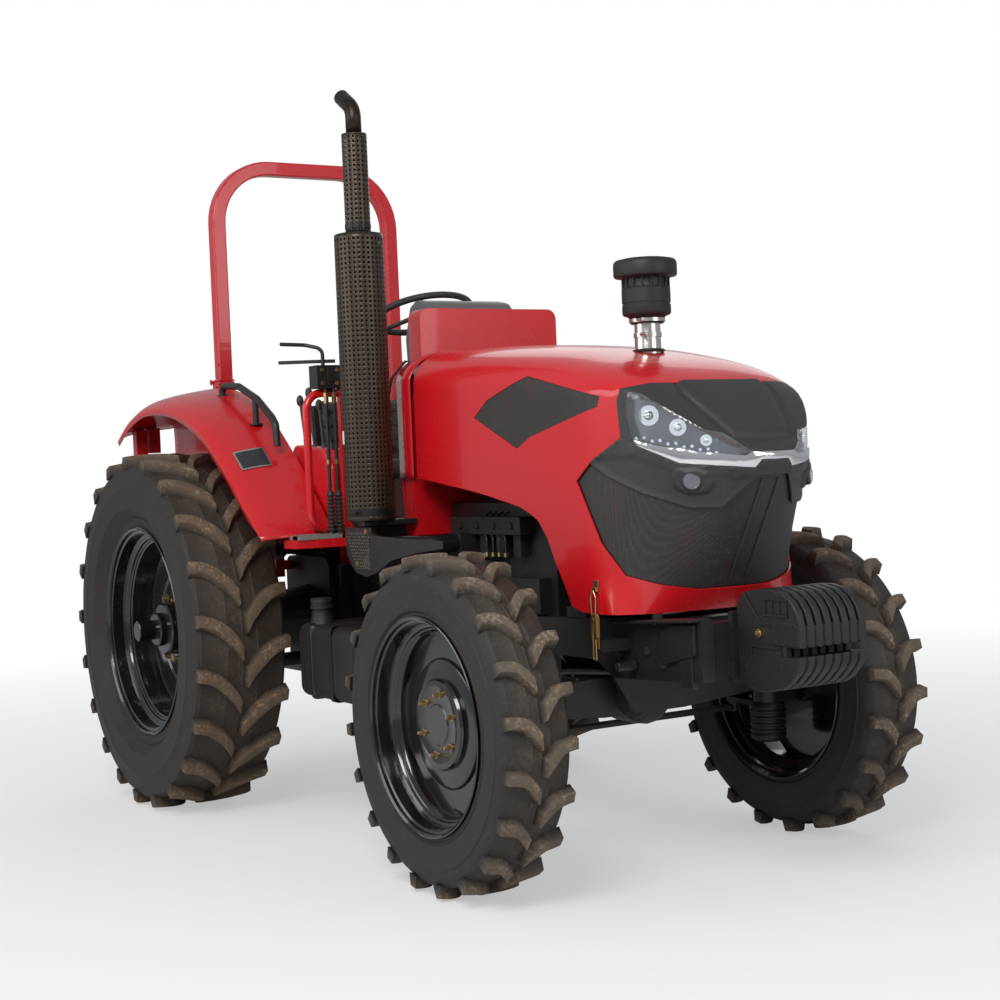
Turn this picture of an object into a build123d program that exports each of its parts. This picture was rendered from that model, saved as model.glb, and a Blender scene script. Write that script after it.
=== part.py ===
from build123d import *
from math import cos, pi, radians, sin
import os

# A four-wheel-drive farm tractor with a roll-over hoop, an upright silencer and front weights.
# Frame: X forward, Y to the driver's left, Z up, Z = 0 on the ground under the tyre lugs.
# The origin is on the ground at the middle of the whole length.

# Overall
wheelbase = 2050.0
front_reach = 3013.0
rear_reach = 962.0
rear_axle_x = (rear_reach - front_reach) / 2
front_axle_x = rear_axle_x + wheelbase

# Rear wheels
rear_tyre_diameter = 1415.0
rear_tyre_width = 378.0
rear_lug_height = 38.0
rear_lug_count = 18
rear_rim_radius = 402.0
rear_rim_width = 304.0
rear_track_half = 789.0
rear_axle_height = rear_tyre_diameter / 2
rear_axle_bar_radius = 40.0
rear_axle_bar_end = 960.0
trumpet_end = 639.0

# Front wheels
front_tyre_diameter = 1050.0
front_tyre_width = 241.0
front_lug_height = 32.0
front_lug_count = 17
front_rim_radius = 326.0
front_rim_width = 230.0
front_disc_flat = 255.0
front_track_half = 690.0
front_hub_height = front_tyre_diameter / 2
kingpin_offset = 560.0
kingpin_radius = 24.0
front_spindle_radius = 35.0
tie_rod_back = 180.0
tie_stud_radius = 10.0
axle_beam_height = 560.0
axle_beam_depth = 109.0

# Hood
hood_rear = 1290.0
hood_half_width = 360.0
hood_nose_start = 2270.0
hood_nose_tip = 2800.0
hood_wall = 5.0
nose_wall = 7.0
grille_set_back = 3.0
grille_back = 13.0
vent_set_back = 0.5
hood_tip_height = 1310.0
hood_foot_height = 850.0
hood_hinge_x = 1305.0
hood_hinge_z = 1712.0
hood_hinge_y = 104.0
hinge_pin_radius = 8.0

# Driver's station
platform_top = 1070.0
platform_thickness = 30.0
platform_front = 1150.0
fender_lip_y = 800.0
fender_inner_y = 520.0
fender_thickness = 5.0
bulkhead_x = 1235.0
bulkhead_thickness = 6.0
shroud_half_width = 293.0
shroud_top = 1885.0
cowl_rear = 1160.0
cowl_front = 1258.0
wheel_tilt = 17.6
wheel_hub_x = 738.0
wheel_hub_z = 1913.0
steering_wheel_radius = 188.0
post_x = 950.0
post_outer_y = 490.0

# Roll-over hoop
hoop_x = -290.0
hoop_half_width = 415.0
hoop_tube = 60.0
hoop_top = 2670.0
hoop_foot = 1718.0
hoop_bend_radius = 215.0
hoop_pin_back = 22.0
hoop_ear_radius = 12.0

# Driveline
engine_rear = 1250.3
engine_front = 1920.3
engine_half_width = 200.0
engine_low = 620.0
engine_high = 1180.0
radiator_low = 818.2
case_low = 499.7
case_high = 959.7
case_half_length = 210.0
frame_front = 2739.7
frame_outer_y = 255.0
frame_inner_y = 210.0

# Exhaust and air intake
silencer_x = 1190.0
silencer_y = -500.0
silencer_radius = 87.0
silencer_low = 1135.0
silencer_high = 2142.0
tail_guard_radius = 45.0
tail_guard_high = 2500.0
tail_pipe_radius = 28.5
intake_x = 2200.0
intake_pipe_radius = 42.0

# Rear linkage
rockshaft_x = -60.0
rockshaft_z = 1000.0
rockshaft_radius = 30.0
link_pivot_x = -120.0
link_pivot_z = 520.0
link_shaft_radius = 20.0
link_y = 400.0
link_thickness = 30.0
lift_arm_y = 300.0
link_length = 800.0
lift_arm_length = 320.0
lift_pin_radius = 12.0
link_ball_bore = 14.35
top_link_bore = 12.85
top_link_x = -285.0
top_link_z = 890.0
drawbar_pin_x = -740.0
drawbar_hole_radius = 15.0
drawbar_low = 420.0
drawbar_thickness = 30.0

# Clearances
seat_gap = 0.3
running_gap = 0.08


def ahead(distance):
    """The X coordinate of a point this far in front of the rear axle."""
    return rear_axle_x + distance


os.makedirs("parts", exist_ok=True)


def save(part, label):
    """Label a finished piece and write its file."""
    part.label = label
    export_step(part, "parts/" + label + ".step")


def outline_sketch(plane, points, rounding):
    """A flat closed outline on a plane, with its corners rounded if asked."""
    with BuildSketch(plane) as section:
        with BuildLine():
            Polyline(*points, close=True)
        make_face()
        if rounding:
            fillet(section.vertices(), rounding)
    return section.sketch


def across(outline, low, high, side=1, rounding=0.0, mode=Mode.ADD):
    """A solid from (ahead, height) points, between two distances out from the middle."""
    points = [(ahead(x), z) for x, z in outline]
    section = outline_sketch(Plane.XZ.offset(-side * low), points, rounding)
    extrude(section, amount=high - low, dir=(0, side, 0), mode=mode)


def upward(outline, low, high, side=1, rounding=0.0, mode=Mode.ADD):
    """A solid from (ahead, sideways) points, between two heights."""
    points = [(ahead(x), side * y) for x, y in outline]
    section = outline_sketch(Plane.XY.offset(low), points, rounding)
    extrude(section, amount=high - low, dir=(0, 0, 1), mode=mode)


def lengthwise(outline, low, high, side=1, rounding=0.0, mode=Mode.ADD):
    """A solid from (sideways, height) points, between two distances ahead."""
    points = [(side * y, z) for y, z in outline]
    section = outline_sketch(Plane.YZ.offset(ahead(low)), points, rounding)
    extrude(section, amount=high - low, dir=(1, 0, 0), mode=mode)


def block(x_low, x_high, y_low, y_high, z_low, z_high, side=1, mode=Mode.ADD):
    """A plain block between two distances each way."""
    corners = ((x_low, y_low), (x_high, y_low), (x_high, y_high), (x_low, y_high))
    upward(corners, z_low, z_high, side, mode=mode)


def rod(start, end, radius, sides=10, mode=Mode.ADD):
    """A many-sided rod between two points of (ahead, sideways, height)."""
    first = Vector(ahead(start[0]), start[1], start[2])
    last = Vector(ahead(end[0]), end[1], end[2])
    with BuildSketch(Plane(origin=first, z_dir=last - first)) as section:
        RegularPolygon(radius, sides)
    extrude(section.sketch, amount=(last - first).length, dir=last - first, mode=mode)


def bar(start, end, radius, mode=Mode.ADD):
    """A round bar or bore between two points of (ahead, sideways, height)."""
    first = Vector(ahead(start[0]), start[1], start[2])
    last = Vector(ahead(end[0]), end[1], end[2])
    with BuildSketch(Plane(origin=first, z_dir=last - first)) as section:
        Circle(radius)
    extrude(section.sketch, amount=(last - first).length, dir=last - first, mode=mode)


def bent_tube(points, radius, bend, sides=8, mode=Mode.ADD):
    """A many-sided tube along straight runs through (ahead, sideways, height) points, with bends."""
    knots = [Vector(ahead(x), y, z) for x, y, z in points]
    route = [knots[0]]
    for before, corner, after in zip(knots, knots[1:], knots[2:]):
        way_in = (corner - before).normalized()
        way_out = (after - corner).normalized()
        for share in (0.0, 0.3, 0.7, 1.0):
            near = corner - way_in * bend * (1 - share)
            far = corner + way_out * bend * share
            route.append(near * (1 - share) + far * share)
    route.append(knots[-1])
    with BuildLine() as path:
        Polyline(*route)
    with BuildSketch(Plane(origin=route[0], z_dir=route[1] - route[0])) as section:
        RegularPolygon(radius, sides)
    sweep(section.sketch, path=path.wire(), transition=Transition.RIGHT, mode=mode)


def turned(profile, sides, center):
    """A body turned about an axle along Y in flat-sided steps, from (radius, sideways) points."""
    pitch = 2 * pi / sides
    panels = []

    def corner(radius, width, angle):
        return (center[0] + radius * cos(angle), center[1] + width, center[2] + radius * sin(angle))

    for step in range(sides):
        first = step * pitch
        second = first + pitch
        for (r1, y1), (r2, y2) in zip(profile, profile[1:] + profile[:1]):
            if r1 == 0 and r2 == 0:
                continue
            corners = [corner(r1, y1, first)]
            if r1 > 0:
                corners.append(corner(r1, y1, second))
            if r2 > 0:
                corners.append(corner(r2, y2, second))
            corners.append(corner(r2, y2, first))
            panels.append(Face(Wire.make_polygon(corners)))
    return Solid(Shell(panels))


# Tyres and wheels, turned in the same number of flats so that each tyre seats on its rim

wheel_sides = 22
lug_thick = 50.0
lug_lead = 0.75


def tyre_carcass(tread, width, rim_radius, rim_width):
    """Closed section of a tyre without its lugs, from (radius, sideways) points."""
    half = width / 2
    bead = rim_width / 2 - 14
    depth = tread - rim_radius
    upper = [(rim_radius, bead), (rim_radius + 0.55 * depth, half), (tread, 0.74 * half)]
    lower = [(radius, -y) for radius, y in reversed(upper)]
    return upper + lower


def tyre_lug(outer, root, inner_y, outer_y, start, sweep, thick, drop):
    """One slanting lug about an axle along Y, from near the middle of the tread to its shoulder."""
    ends = []
    for y, angle, top in ((inner_y, start, outer), (outer_y, start + sweep, outer - drop)):
        spread = thick / 2
        for radius, turn in ((root, -1.25), (top, -0.8), (top, 0.8), (root, 1.25)):
            place = angle + turn * spread / outer
            ends.append((radius * cos(place), y, radius * sin(place)))
    near, far = ends[:4], ends[4:]
    walls = [Face(Wire.make_polygon(near)), Face(Wire.make_polygon(far))]
    for index in range(4):
        other = (index + 1) % 4
        walls.append(Face(Wire.make_polygon([near[index], near[other], far[other]])))
        walls.append(Face(Wire.make_polygon([near[index], far[other], far[index]])))
    return Solid(Shell(walls))


def lugged_tyre(diameter, width, lug_height, lug_count, rim_radius, rim_width, sides):
    """A tyre about the Y axis at the origin, out to the tips of its staggered lugs."""
    outer = diameter / 2
    tread = outer - lug_height
    half = width / 2
    pitch = 2 * pi / lug_count
    carcass = turned(tyre_carcass(tread, width, rim_radius, rim_width), sides, (0, 0, 0))
    lugs = []
    for number in range(lug_count):
        for hand in (-1, 1):
            start = number * pitch + (0.5 * pitch if hand > 0 else 0.0) - pi / 2 + 0.8 * lug_thick / 2 / outer
            lugs.append(
                tyre_lug(
                    outer, tread - 0.6 * lug_height, hand * 0.04 * half, hand * 0.95 * half, start,
                    lug_lead * half / outer, lug_thick, 0.12 * lug_height,
                )
            )
    return carcass.fuse(*lugs)


def rim_section(rim_radius, rim_width):
    """Closed section of a drop-centre rim from (radius, sideways) points."""
    half = rim_width / 2
    outside = [
        (rim_radius + 12, half), (rim_radius - seat_gap, half - 9), (rim_radius - seat_gap, half - 50),
        (rim_radius - 34, half - 66),
    ]
    outside += [(radius, -y) for radius, y in reversed(outside)]
    inside = [(rim_radius - 8, -half + 3), (rim_radius - 8, -half + 46), (rim_radius - 40, -half + 64)]
    inside += [(radius, -y) for radius, y in reversed(inside)]
    return outside + inside


disc_wall = 12.0

for diameter, width, lug_height, lug_count, rim_radius, rim_width, axle_x, track_half, name in (
    (
        rear_tyre_diameter, rear_tyre_width, rear_lug_height, rear_lug_count, rear_rim_radius,
        rear_rim_width, rear_axle_x, rear_track_half, "rear",
    ),
    (
        front_tyre_diameter, front_tyre_width, front_lug_height, front_lug_count, front_rim_radius,
        front_rim_width, front_axle_x, front_track_half, "front",
    ),
):
    tyre = lugged_tyre(diameter, width, lug_height, lug_count, rim_radius, rim_width, wheel_sides)
    for side, word in ((-1, "right"), (1, "left")):
        placed = tyre if side < 0 else tyre.mirror(Plane.XZ)
        save(placed.moved(Location((axle_x, side * track_half, diameter / 2))), name + "_tyre_" + word)

for side, word in ((-1, "right"), (1, "left")):
    center = (rear_axle_x, side * rear_track_half, rear_axle_height)
    with BuildPart() as rear_wheel:
        add(turned(rim_section(rear_rim_radius, rear_rim_width), wheel_sides, center))
        disc_plane = Plane(
            origin=(rear_axle_x, side * (rear_track_half - 34), rear_axle_height), z_dir=(0, -side, 0)
        )
        with BuildSketch(disc_plane):
            RegularPolygon(rear_rim_radius - 37, wheel_sides)
        extrude(amount=disc_wall)
        add(
            turned(
                [
                    (0, side * 90), (95, side * 90), (110, side * 40), (150, side * -20),
                    (150, side * -52), (0, side * -52),
                ],
                20, center,
            )
        )
        with BuildSketch(Plane(origin=(rear_axle_x, side * (trumpet_end + seat_gap), rear_axle_height),
                               z_dir=(0, side, 0))):
            Circle(rear_axle_bar_radius)
        extrude(amount=rear_axle_bar_end - trumpet_end - seat_gap)
    save(rear_wheel.part, "rear_wheel_" + word)

    center = (front_axle_x, side * front_track_half, front_hub_height)
    with BuildPart() as front_wheel:
        add(turned(rim_section(front_rim_radius, front_rim_width), wheel_sides, center))
        disc_plane = Plane(
            origin=(front_axle_x, side * (front_track_half + 18), front_hub_height), z_dir=(0, side, 0)
        )
        with BuildSketch(disc_plane):
            RegularPolygon(front_rim_radius - 37, wheel_sides)
            Rectangle(2 * front_disc_flat, 2 * front_disc_flat, rotation=45, mode=Mode.INTERSECT)
        extrude(amount=disc_wall)
        add(
            turned(
                [
                    (0, side * 60), (118, side * 60), (140, side * 48), (140, side * 30),
                    (197, side * 30), (205, side * 18), (85, side * 18), (85, side * -35), (0, side * -35),
                ],
                20, center,
            )
        )
        with BuildSketch(Plane(origin=(front_axle_x, side * (front_track_half - 36), front_hub_height),
                               z_dir=(0, side, 0))):
            Circle(front_spindle_radius + running_gap)
        extrude(amount=82, mode=Mode.SUBTRACT)
    save(front_wheel.part, "front_wheel_" + word)


# Hood, with its nose split into cap, lamps, trim, fascia and grille

hood_slices = (
    (hood_foot_height - 10, 2552.0, 2430.0),
    (960.0, 2620.0, 2350.0),
    (1250.0, 2786.0, hood_nose_start),
    (hood_tip_height, hood_nose_tip, hood_nose_start),
    (1900.0, hood_nose_tip, hood_nose_start),
)
hood_arches = (
    (hood_rear, 1740.0, 1490.0),
    (1700.0, 1714.0, 1460.0),
    (2050.0, 1678.0, 1430.0),
    (2300.0, 1633.0, 1395.0),
    (2430.0, 1598.0, 1370.0),
    (2530.0, 1552.0, 1335.0),
    (2620.0, 1483.0, 1295.0),
    (2830.0, 1290.0, 1170.0),
)
arch_fullness = 0.86
arch_overhang = 14.0
arch_steps = 7
nose_steps = 12
corner_angle = 37.0
corner_x = 2600.0
corner_y = 250.0
corner_view = Plane(
    origin=(ahead(corner_x), -corner_y, 0),
    x_dir=(sin(radians(corner_angle)), cos(radians(corner_angle)), 0),
    z_dir=(cos(radians(corner_angle)), -sin(radians(corner_angle)), 0),
)


def arch_points(half, top, flank, inset):
    """Right-to-left points of the hood's top, from one flank over to the other."""
    rise = arch_fullness * (top - flank)
    controls = (
        (half, flank), (half, flank + rise - inset), (arch_fullness * half, top - inset), (0.0, top - inset),
    )
    quarter = []
    for step in range(arch_steps + 1):
        t = step / arch_steps
        weights = ((1 - t) ** 3, 3 * t * (1 - t) ** 2, 3 * t * t * (1 - t), t ** 3)
        quarter.append(tuple(sum(w * point[axis] for w, point in zip(weights, controls)) for axis in (0, 1)))
    return quarter + [(-y, z) for y, z in reversed(quarter[:-1])]


def hood_form(inset, rear=0.0, foot=0.0):
    """Closed form of the hood, drawn in by inset and let out at the rear and the foot."""
    half = hood_half_width - inset
    back = ahead(hood_rear - rear)
    with BuildPart() as form:
        for height, nose, bend in hood_slices:
            start = ahead(bend)
            level = height - foot if height == hood_slices[0][0] else height
            reach = nose - bend - inset
            curve = []
            for step in range(nose_steps + 1):
                turn = pi * step / nose_steps - pi / 2
                curve.append((start + reach * cos(turn), half * sin(turn)))
            with BuildSketch(Plane.XY.offset(level)):
                with BuildLine():
                    Polyline((back, half), (back, -half), *curve, close=True)
                make_face()
        loft(ruled=True)
    with BuildPart() as arch:
        for x, top, flank in hood_arches:
            place = x - rear - 20 if x == hood_rear else x
            width = half + arch_overhang
            with BuildSketch(Plane(origin=(ahead(place), 0, 0), x_dir=(0, 1, 0), z_dir=(1, 0, 0))):
                with BuildLine():
                    Polyline((-width, 650), (width, 650), *arch_points(width, top, flank, inset), close=True)
                make_face()
        loft(ruled=True)
    return form.part & arch.part


def corner_prism(points):
    """A cutter as seen from the right front corner, with its mirror image on the left."""
    with BuildPart() as prism:
        with BuildSketch(corner_view):
            with BuildLine():
                Polyline(*points, close=True)
            make_face()
        extrude(amount=700, both=True)
        split(bisect_by=Plane.XZ, keep=Keep.TOP)
        mirror(about=Plane.XZ)
    return prism.part


def flank_prism(points, grow=0.0):
    """A cutter as seen from the side, through the whole width."""
    with BuildPart() as prism:
        with BuildSketch(Plane.XZ):
            with BuildLine():
                Polyline(*[(ahead(x), z) for x, z in points], close=True)
            make_face()
            if grow:
                offset(amount=grow)
        extrude(amount=600, both=True)
    return prism.part


past_middle = 460.0
cap_edge = ((past_middle, 1533), (108, 1533), (-37, 1535), (-126, 1522), (-139, 1487), (-132, 1375))
grille_edge = (
    (-229, 1306), (-275, 1252), (-204, 1063), (-134, 966), (-33, 936), (83, 914), (past_middle, 912),
)
lamp_top = ((-94, 1368), (-114, 1442), (-106, 1510), (-68, 1504), (117, 1387), (166, 1379), (250, 1319))
trim_top = ((-94, 1368), (-16, 1346), (100, 1324), (229, 1308), (250, 1319), (past_middle, 1312))
fascia_top = ((-94, 1368), (-82, 1349), (40, 1293), (257, 1272), (278, 1295), (past_middle, 1291))
fascia_foot = (
    (past_middle, 1251), (262, 1251), (157, 1161), (64, 1164), (-80, 1214), (-166, 1259), (-229, 1306),
)
nose_outline = cap_edge + grille_edge
cap_outline = cap_edge + lamp_top + ((past_middle, 1312),)
lamp_outline = lamp_top + trim_top[3:0:-1]
chrome_outline = trim_top + fascia_top[:0:-1]
fascia_outline = (cap_edge[-1],) + fascia_top + fascia_foot
grille_outline = fascia_foot + grille_edge[1:]
vent_outline = (
    (1697, 1471), (1786, 1526), (2025, 1590), (2413, 1504), (2401, 1472), (2039, 1395), (1958, 1360),
)
wheel_arch_outline = (
    (hood_rear - 120, hood_foot_height - 100), (hood_rear - 120, 1290), (1285, 1277), (1961, 1173),
    (2065, 1130), (2115, 1075), (2153, 1005), (2242, 865), (2300, hood_foot_height), (3000, hood_foot_height),
    (3000, hood_foot_height - 100),
)
fog_lamp = Plane(
    origin=(ahead(2672), -214, 1241), z_dir=(cos(radians(corner_angle)), -sin(radians(corner_angle)), 0)
)
fog_lamp_radius = 24.0

hood_inner = hood_form(hood_wall, rear=80.0, foot=60.0)
nose_prism = corner_prism(nose_outline)

with BuildPart() as hood_shell:
    add(hood_form(0.0))
    add(hood_inner, mode=Mode.SUBTRACT)
    add(nose_prism, mode=Mode.SUBTRACT)
    add(flank_prism(wheel_arch_outline), mode=Mode.SUBTRACT)
    add(flank_prism(vent_outline), mode=Mode.SUBTRACT)
    for side in (-1, 1):
        ear = (
            (hood_hinge_x - 16, hood_hinge_z - 16), (hood_hinge_x + 16, hood_hinge_z - 16),
            (hood_hinge_x + 20, hood_hinge_z + 22), (hood_hinge_x - 14, hood_hinge_z + 23),
        )
        across(ear, hood_hinge_y - 4, hood_hinge_y + 4, side)
    bar((hood_hinge_x, -hood_hinge_y - 10, hood_hinge_z), (hood_hinge_x, hood_hinge_y + 10, hood_hinge_z),
        hinge_pin_radius + running_gap, mode=Mode.SUBTRACT)
    bar((intake_x, 0, 1500), (intake_x, 0, 1800), intake_pipe_radius + seat_gap, mode=Mode.SUBTRACT)
save(hood_shell.part, "hood_shell")

nose_skin = (hood_form(0.0) - hood_form(nose_wall, rear=80.0, foot=60.0)) & nose_prism
with BuildPart() as nose_fascia:
    add(nose_skin & corner_prism(fascia_outline))
    with BuildSketch(fog_lamp.offset(-60)) as fog_hole:
        Circle(fog_lamp_radius + seat_gap)
    extrude(fog_hole.sketch, amount=120, dir=fog_lamp.z_dir, mode=Mode.SUBTRACT)
    extrude(
        mirror(fog_hole.sketch, about=Plane.XZ, mode=Mode.PRIVATE), amount=120,
        dir=(fog_lamp.z_dir.X, -fog_lamp.z_dir.Y, 0), mode=Mode.SUBTRACT,
    )
save(nose_fascia.part, "nose_fascia")

with BuildPart() as fog_lamps:
    with BuildSketch(fog_lamp.offset(-30)):
        Circle(fog_lamp_radius)
    extrude(amount=32)
    mirror(about=Plane.XZ)
    add(nose_skin & corner_prism(lamp_outline))
save(fog_lamps.part, "headlamps")
save(nose_skin & corner_prism(chrome_outline), "chrome_trim")
save(nose_skin & corner_prism(cap_outline), "nose_cap")

with BuildPart() as grille:
    add((hood_form(grille_set_back) - hood_form(grille_back, rear=80.0, foot=60.0)) & corner_prism(grille_outline))
save(grille.part, "grille")

with BuildPart() as side_vents:
    add((hood_form(vent_set_back) - hood_form(hood_wall, rear=80.0, foot=60.0)) & flank_prism(vent_outline, -seat_gap))
save(side_vents.part, "side_vents")

# Roll-over hoop, folding to the rear about a pin behind each foot

hoop_pin_x = hoop_x - hoop_tube / 2 - hoop_pin_back

with BuildPart() as rops_hoop:
    outer_half = hoop_half_width + hoop_tube / 2
    outer_bend = hoop_bend_radius + hoop_tube
    inner_half = hoop_half_width - hoop_tube / 2
    inner_top = hoop_top - hoop_tube
    outer_curve = []
    inner_curve = []
    for step in range(7):
        turn = step * pi / 12
        outer_curve.append(
            (outer_half - outer_bend * (1 - cos(turn)), hoop_top - outer_bend * (1 - sin(turn)))
        )
        inner_curve.append(
            (inner_half - hoop_bend_radius * (1 - cos(turn)), inner_top - hoop_bend_radius * (1 - sin(turn)))
        )
    outside = [(outer_half, hoop_foot)] + outer_curve + [(-y, z) for y, z in reversed(outer_curve)]
    inside = [(-inner_half, hoop_foot)] + [(-y, z) for y, z in inner_curve] + list(reversed(inner_curve))
    lengthwise(
        outside + [(-outer_half, hoop_foot)] + inside + [(inner_half, hoop_foot)],
        hoop_x - hoop_tube / 2, hoop_x + hoop_tube / 2,
    )
    for side in (-1, 1):
        ear = (
            (hoop_x - hoop_tube / 2 + 2, hoop_foot + 4), (hoop_x - hoop_tube / 2 + 2, hoop_foot + 50),
            (hoop_pin_x - hoop_ear_radius, hoop_foot + 10), (hoop_pin_x - hoop_ear_radius, hoop_foot - 9),
            (hoop_pin_x + 6, hoop_foot - hoop_ear_radius),
        )
        across(ear, hoop_half_width - 9, hoop_half_width + 9, side)
    bar((hoop_pin_x, -outer_half, hoop_foot), (hoop_pin_x, outer_half, hoop_foot),
        hinge_pin_radius + running_gap, mode=Mode.SUBTRACT)
save(rops_hoop.part, "rops_hoop")

with BuildPart() as rops_posts:
    for side in (-1, 1):
        block(hoop_x - hoop_tube / 2, hoop_x + hoop_tube / 2, inner_half, outer_half, 1000,
              hoop_foot - seat_gap, side)
        foot = (
            (-320, 1010), (-320, 930), (-110, 830), (110, 830), (110, 880), (-80, 900), (-260, 1010),
        )
        across(foot, inner_half, outer_half, side)
        block(hoop_x + 26, 120, inner_half, outer_half, 900, 925, side)
        ear = (
            (hoop_x - hoop_tube / 2 + 2, hoop_foot - 4), (hoop_pin_x, hoop_foot + hoop_ear_radius - 2),
            (hoop_pin_x - hoop_ear_radius, hoop_foot), (hoop_pin_x - 8, hoop_foot - 30),
            (hoop_x - hoop_tube / 2 + 2, hoop_foot - 60),
        )
        for near in (hoop_half_width - 28, hoop_half_width + 16):
            across(ear, near, near + 12, side)
        bar((hoop_pin_x, side * (hoop_half_width - 30), hoop_foot),
            (hoop_pin_x, side * (hoop_half_width + 30), hoop_foot), hinge_pin_radius)
save(rops_posts.part, "rops_posts")

# Rear axle, transmission and engine

def barrel(outline, axis_plane, mode=Mode.ADD):
    """A round body from (along, radius) points about the normal of a plane."""
    for (start, first), (end, last) in zip(outline, outline[1:]):
        with BuildSketch(axis_plane.offset(start)) as near:
            RegularPolygon(first, 20)
        with BuildSketch(axis_plane.offset(end)) as far:
            RegularPolygon(last, 20)
        loft((near.sketch, far.sketch), ruled=True, mode=mode)


with BuildPart() as rear_axle_case:
    case = ((-case_half_length, case_low), (case_half_length, case_low), (case_half_length, case_high),
            (-case_half_length, case_high))
    across(case, -200, 200, rounding=50)
    for side in (-1, 1):
        axle = Plane(origin=(ahead(0), 0, rear_axle_height), x_dir=(1, 0, 0), z_dir=(0, side, 0))
        barrel(((190, 135), (560, 85)), axle)
        barrel(((560, 108), (trumpet_end, 108)), axle)
        block(-90, 90, hoop_half_width - 40, hoop_half_width + 40, 740, 830 - seat_gap, side)
        bar((link_pivot_x, side * 190, link_pivot_z), (link_pivot_x, side * (link_y + 24), link_pivot_z),
            link_shaft_radius)
        bar((link_pivot_x, side * 190, link_pivot_z),
            (link_pivot_x, side * (link_y - link_thickness / 2 - seat_gap), link_pivot_z), 30)
save(rear_axle_case.part, "rear_axle_case")

with BuildPart() as transmission_case:
    with BuildSketch(Plane.YZ.offset(ahead(case_half_length + seat_gap))):
        with Locations((0, 720)):
            Rectangle(360, 420)
    with BuildSketch(Plane.YZ.offset(ahead(900))):
        with Locations((0, 760)):
            Rectangle(380, 420)
    with BuildSketch(Plane.YZ.offset(ahead(engine_rear - seat_gap))):
        with Locations((0, 780)):
            Rectangle(480, 500)
    loft(ruled=True)
    block(540, 700, -105, 105, 455, 600)
    for rib_x in (330, 470, 760, 900, 1040):
        lengthwise(((-212, 600), (212, 600), (212, 930), (-212, 930)), rib_x, rib_x + 14)
    lengthwise(((-262, 515), (262, 515), (262, 1045), (-262, 1045)), engine_rear - 24, engine_rear - seat_gap)
    rod((690, 0, 528), (wheelbase - 110 - seat_gap, 0, 540), 34)
    rod((690, 0, 528), (790, 0, 528), 46)
save(transmission_case.part, "transmission_case")

with BuildPart() as engine_block:
    block(engine_rear, engine_front, -engine_half_width, engine_half_width, engine_low, engine_high)
    block(1330, 1840, -120, 120, engine_high - 10, 1285)
    block(1340, 1860, -150, 150, 596, engine_low + 10)
    side_face = engine_half_width - 5
    block(1340, 1800, side_face, 262, 1075, 1135, -1)
    block(1340, 1800, side_face, 255, 1085, 1150, 1)
    for x in (1390, 1500, 1610, 1720):
        block(x, x + 46, side_face, 240, 1000, 1085, -1)
    for x, side, radius, low, high in ((1430, -1, 45, 800, 985), (1540, -1, 45, 800, 985), (1480, 1, 48, 760, 930)):
        rod((x, side * (side_face + 50), low), (x, side * (side_face + 50), high), radius)
        block(x - 30, x + 30, side_face, side_face + 40, high - 45, high + 20, side)
    rod((1262, -side_face - 62, 760), (1395, -side_face - 62, 760), 58)
    block(1280, 1380, side_face, side_face + 40, 720, 800, -1)
    rod((1760, side_face + 68, 960), (1890, side_face + 68, 960), 66)
    block(1790, 1860, side_face, side_face + 40, 900, 1020, 1)
    block(1560, 1740, side_face, 300, 820, 960, 1)
    for x in (1585, 1625, 1665, 1705):
        rod((x, 270, 955), (x, 270, 1010), 12)
    block(1700, 1880, side_face, 246, 815, 930, -1)
    block(1395, 1475, side_face, 300, 1010, 1080, -1)
save(engine_block.part, "engine_block")

with BuildPart() as radiator:
    hub = Plane(origin=(ahead(engine_front + seat_gap), 0, 1010), x_dir=(0, 1, 0), z_dir=(1, 0, 0))
    barrel(((0, 45), (60, 45)), hub)
    with BuildSketch(hub.offset(30)) as blades:
        with PolarLocations(120, 7):
            Rectangle(190, 92)
    extrude(blades.sketch, amount=8, dir=(1, 0, 0))
    block(2075, 2150, -255, 255, radiator_low, 1480)
    block(2060, 2165, -262, 262, 1440, 1500)
    block(2060, 2165, -262, 262, radiator_low, 850)
    rod((2110, 120, 1500), (2110, 120, 1530), 26)
save(radiator.part, "radiator")

with BuildPart() as front_frame:
    rail = (
        (1700, 800), (2850 - 110, 840), (frame_front, 660), (2300, 640), (2200, 690), (1700, 690),
    )
    for side in (-1, 1):
        across(rail, frame_inner_y, frame_outer_y, side)
        block(1730, 1900, engine_half_width + seat_gap, frame_inner_y + 5, 700, 790, side)
        rod((2512, side * 240, 815), (2512, side * 240, hood_foot_height - seat_gap), 18)
        block(2340, 2396, frame_outer_y - 5, 362, 735, 770, side)
    for x, low, high in ((2100, 690, 800), (2400, 680, 812), (2700, 665, 828)):
        block(x - 30, x + 30, -215, 215, low, high)
    hanger = (
        (-215, 790), (215, 790), (215, 690), (95, 500), (-95, 500), (-215, 690),
    )
    for low in (engine_front + 0.7, wheelbase + 110 + seat_gap):
        lengthwise(hanger, low, low + 18)
    bar((engine_front - 10, 0, 540), (wheelbase - 100, 0, 540), 42, mode=Mode.SUBTRACT)
    lengthwise(((-140, 650), (140, 650), (140, 858), (-140, 858)), frame_front - 20, frame_front)
save(front_frame.part, "front_frame")

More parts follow.
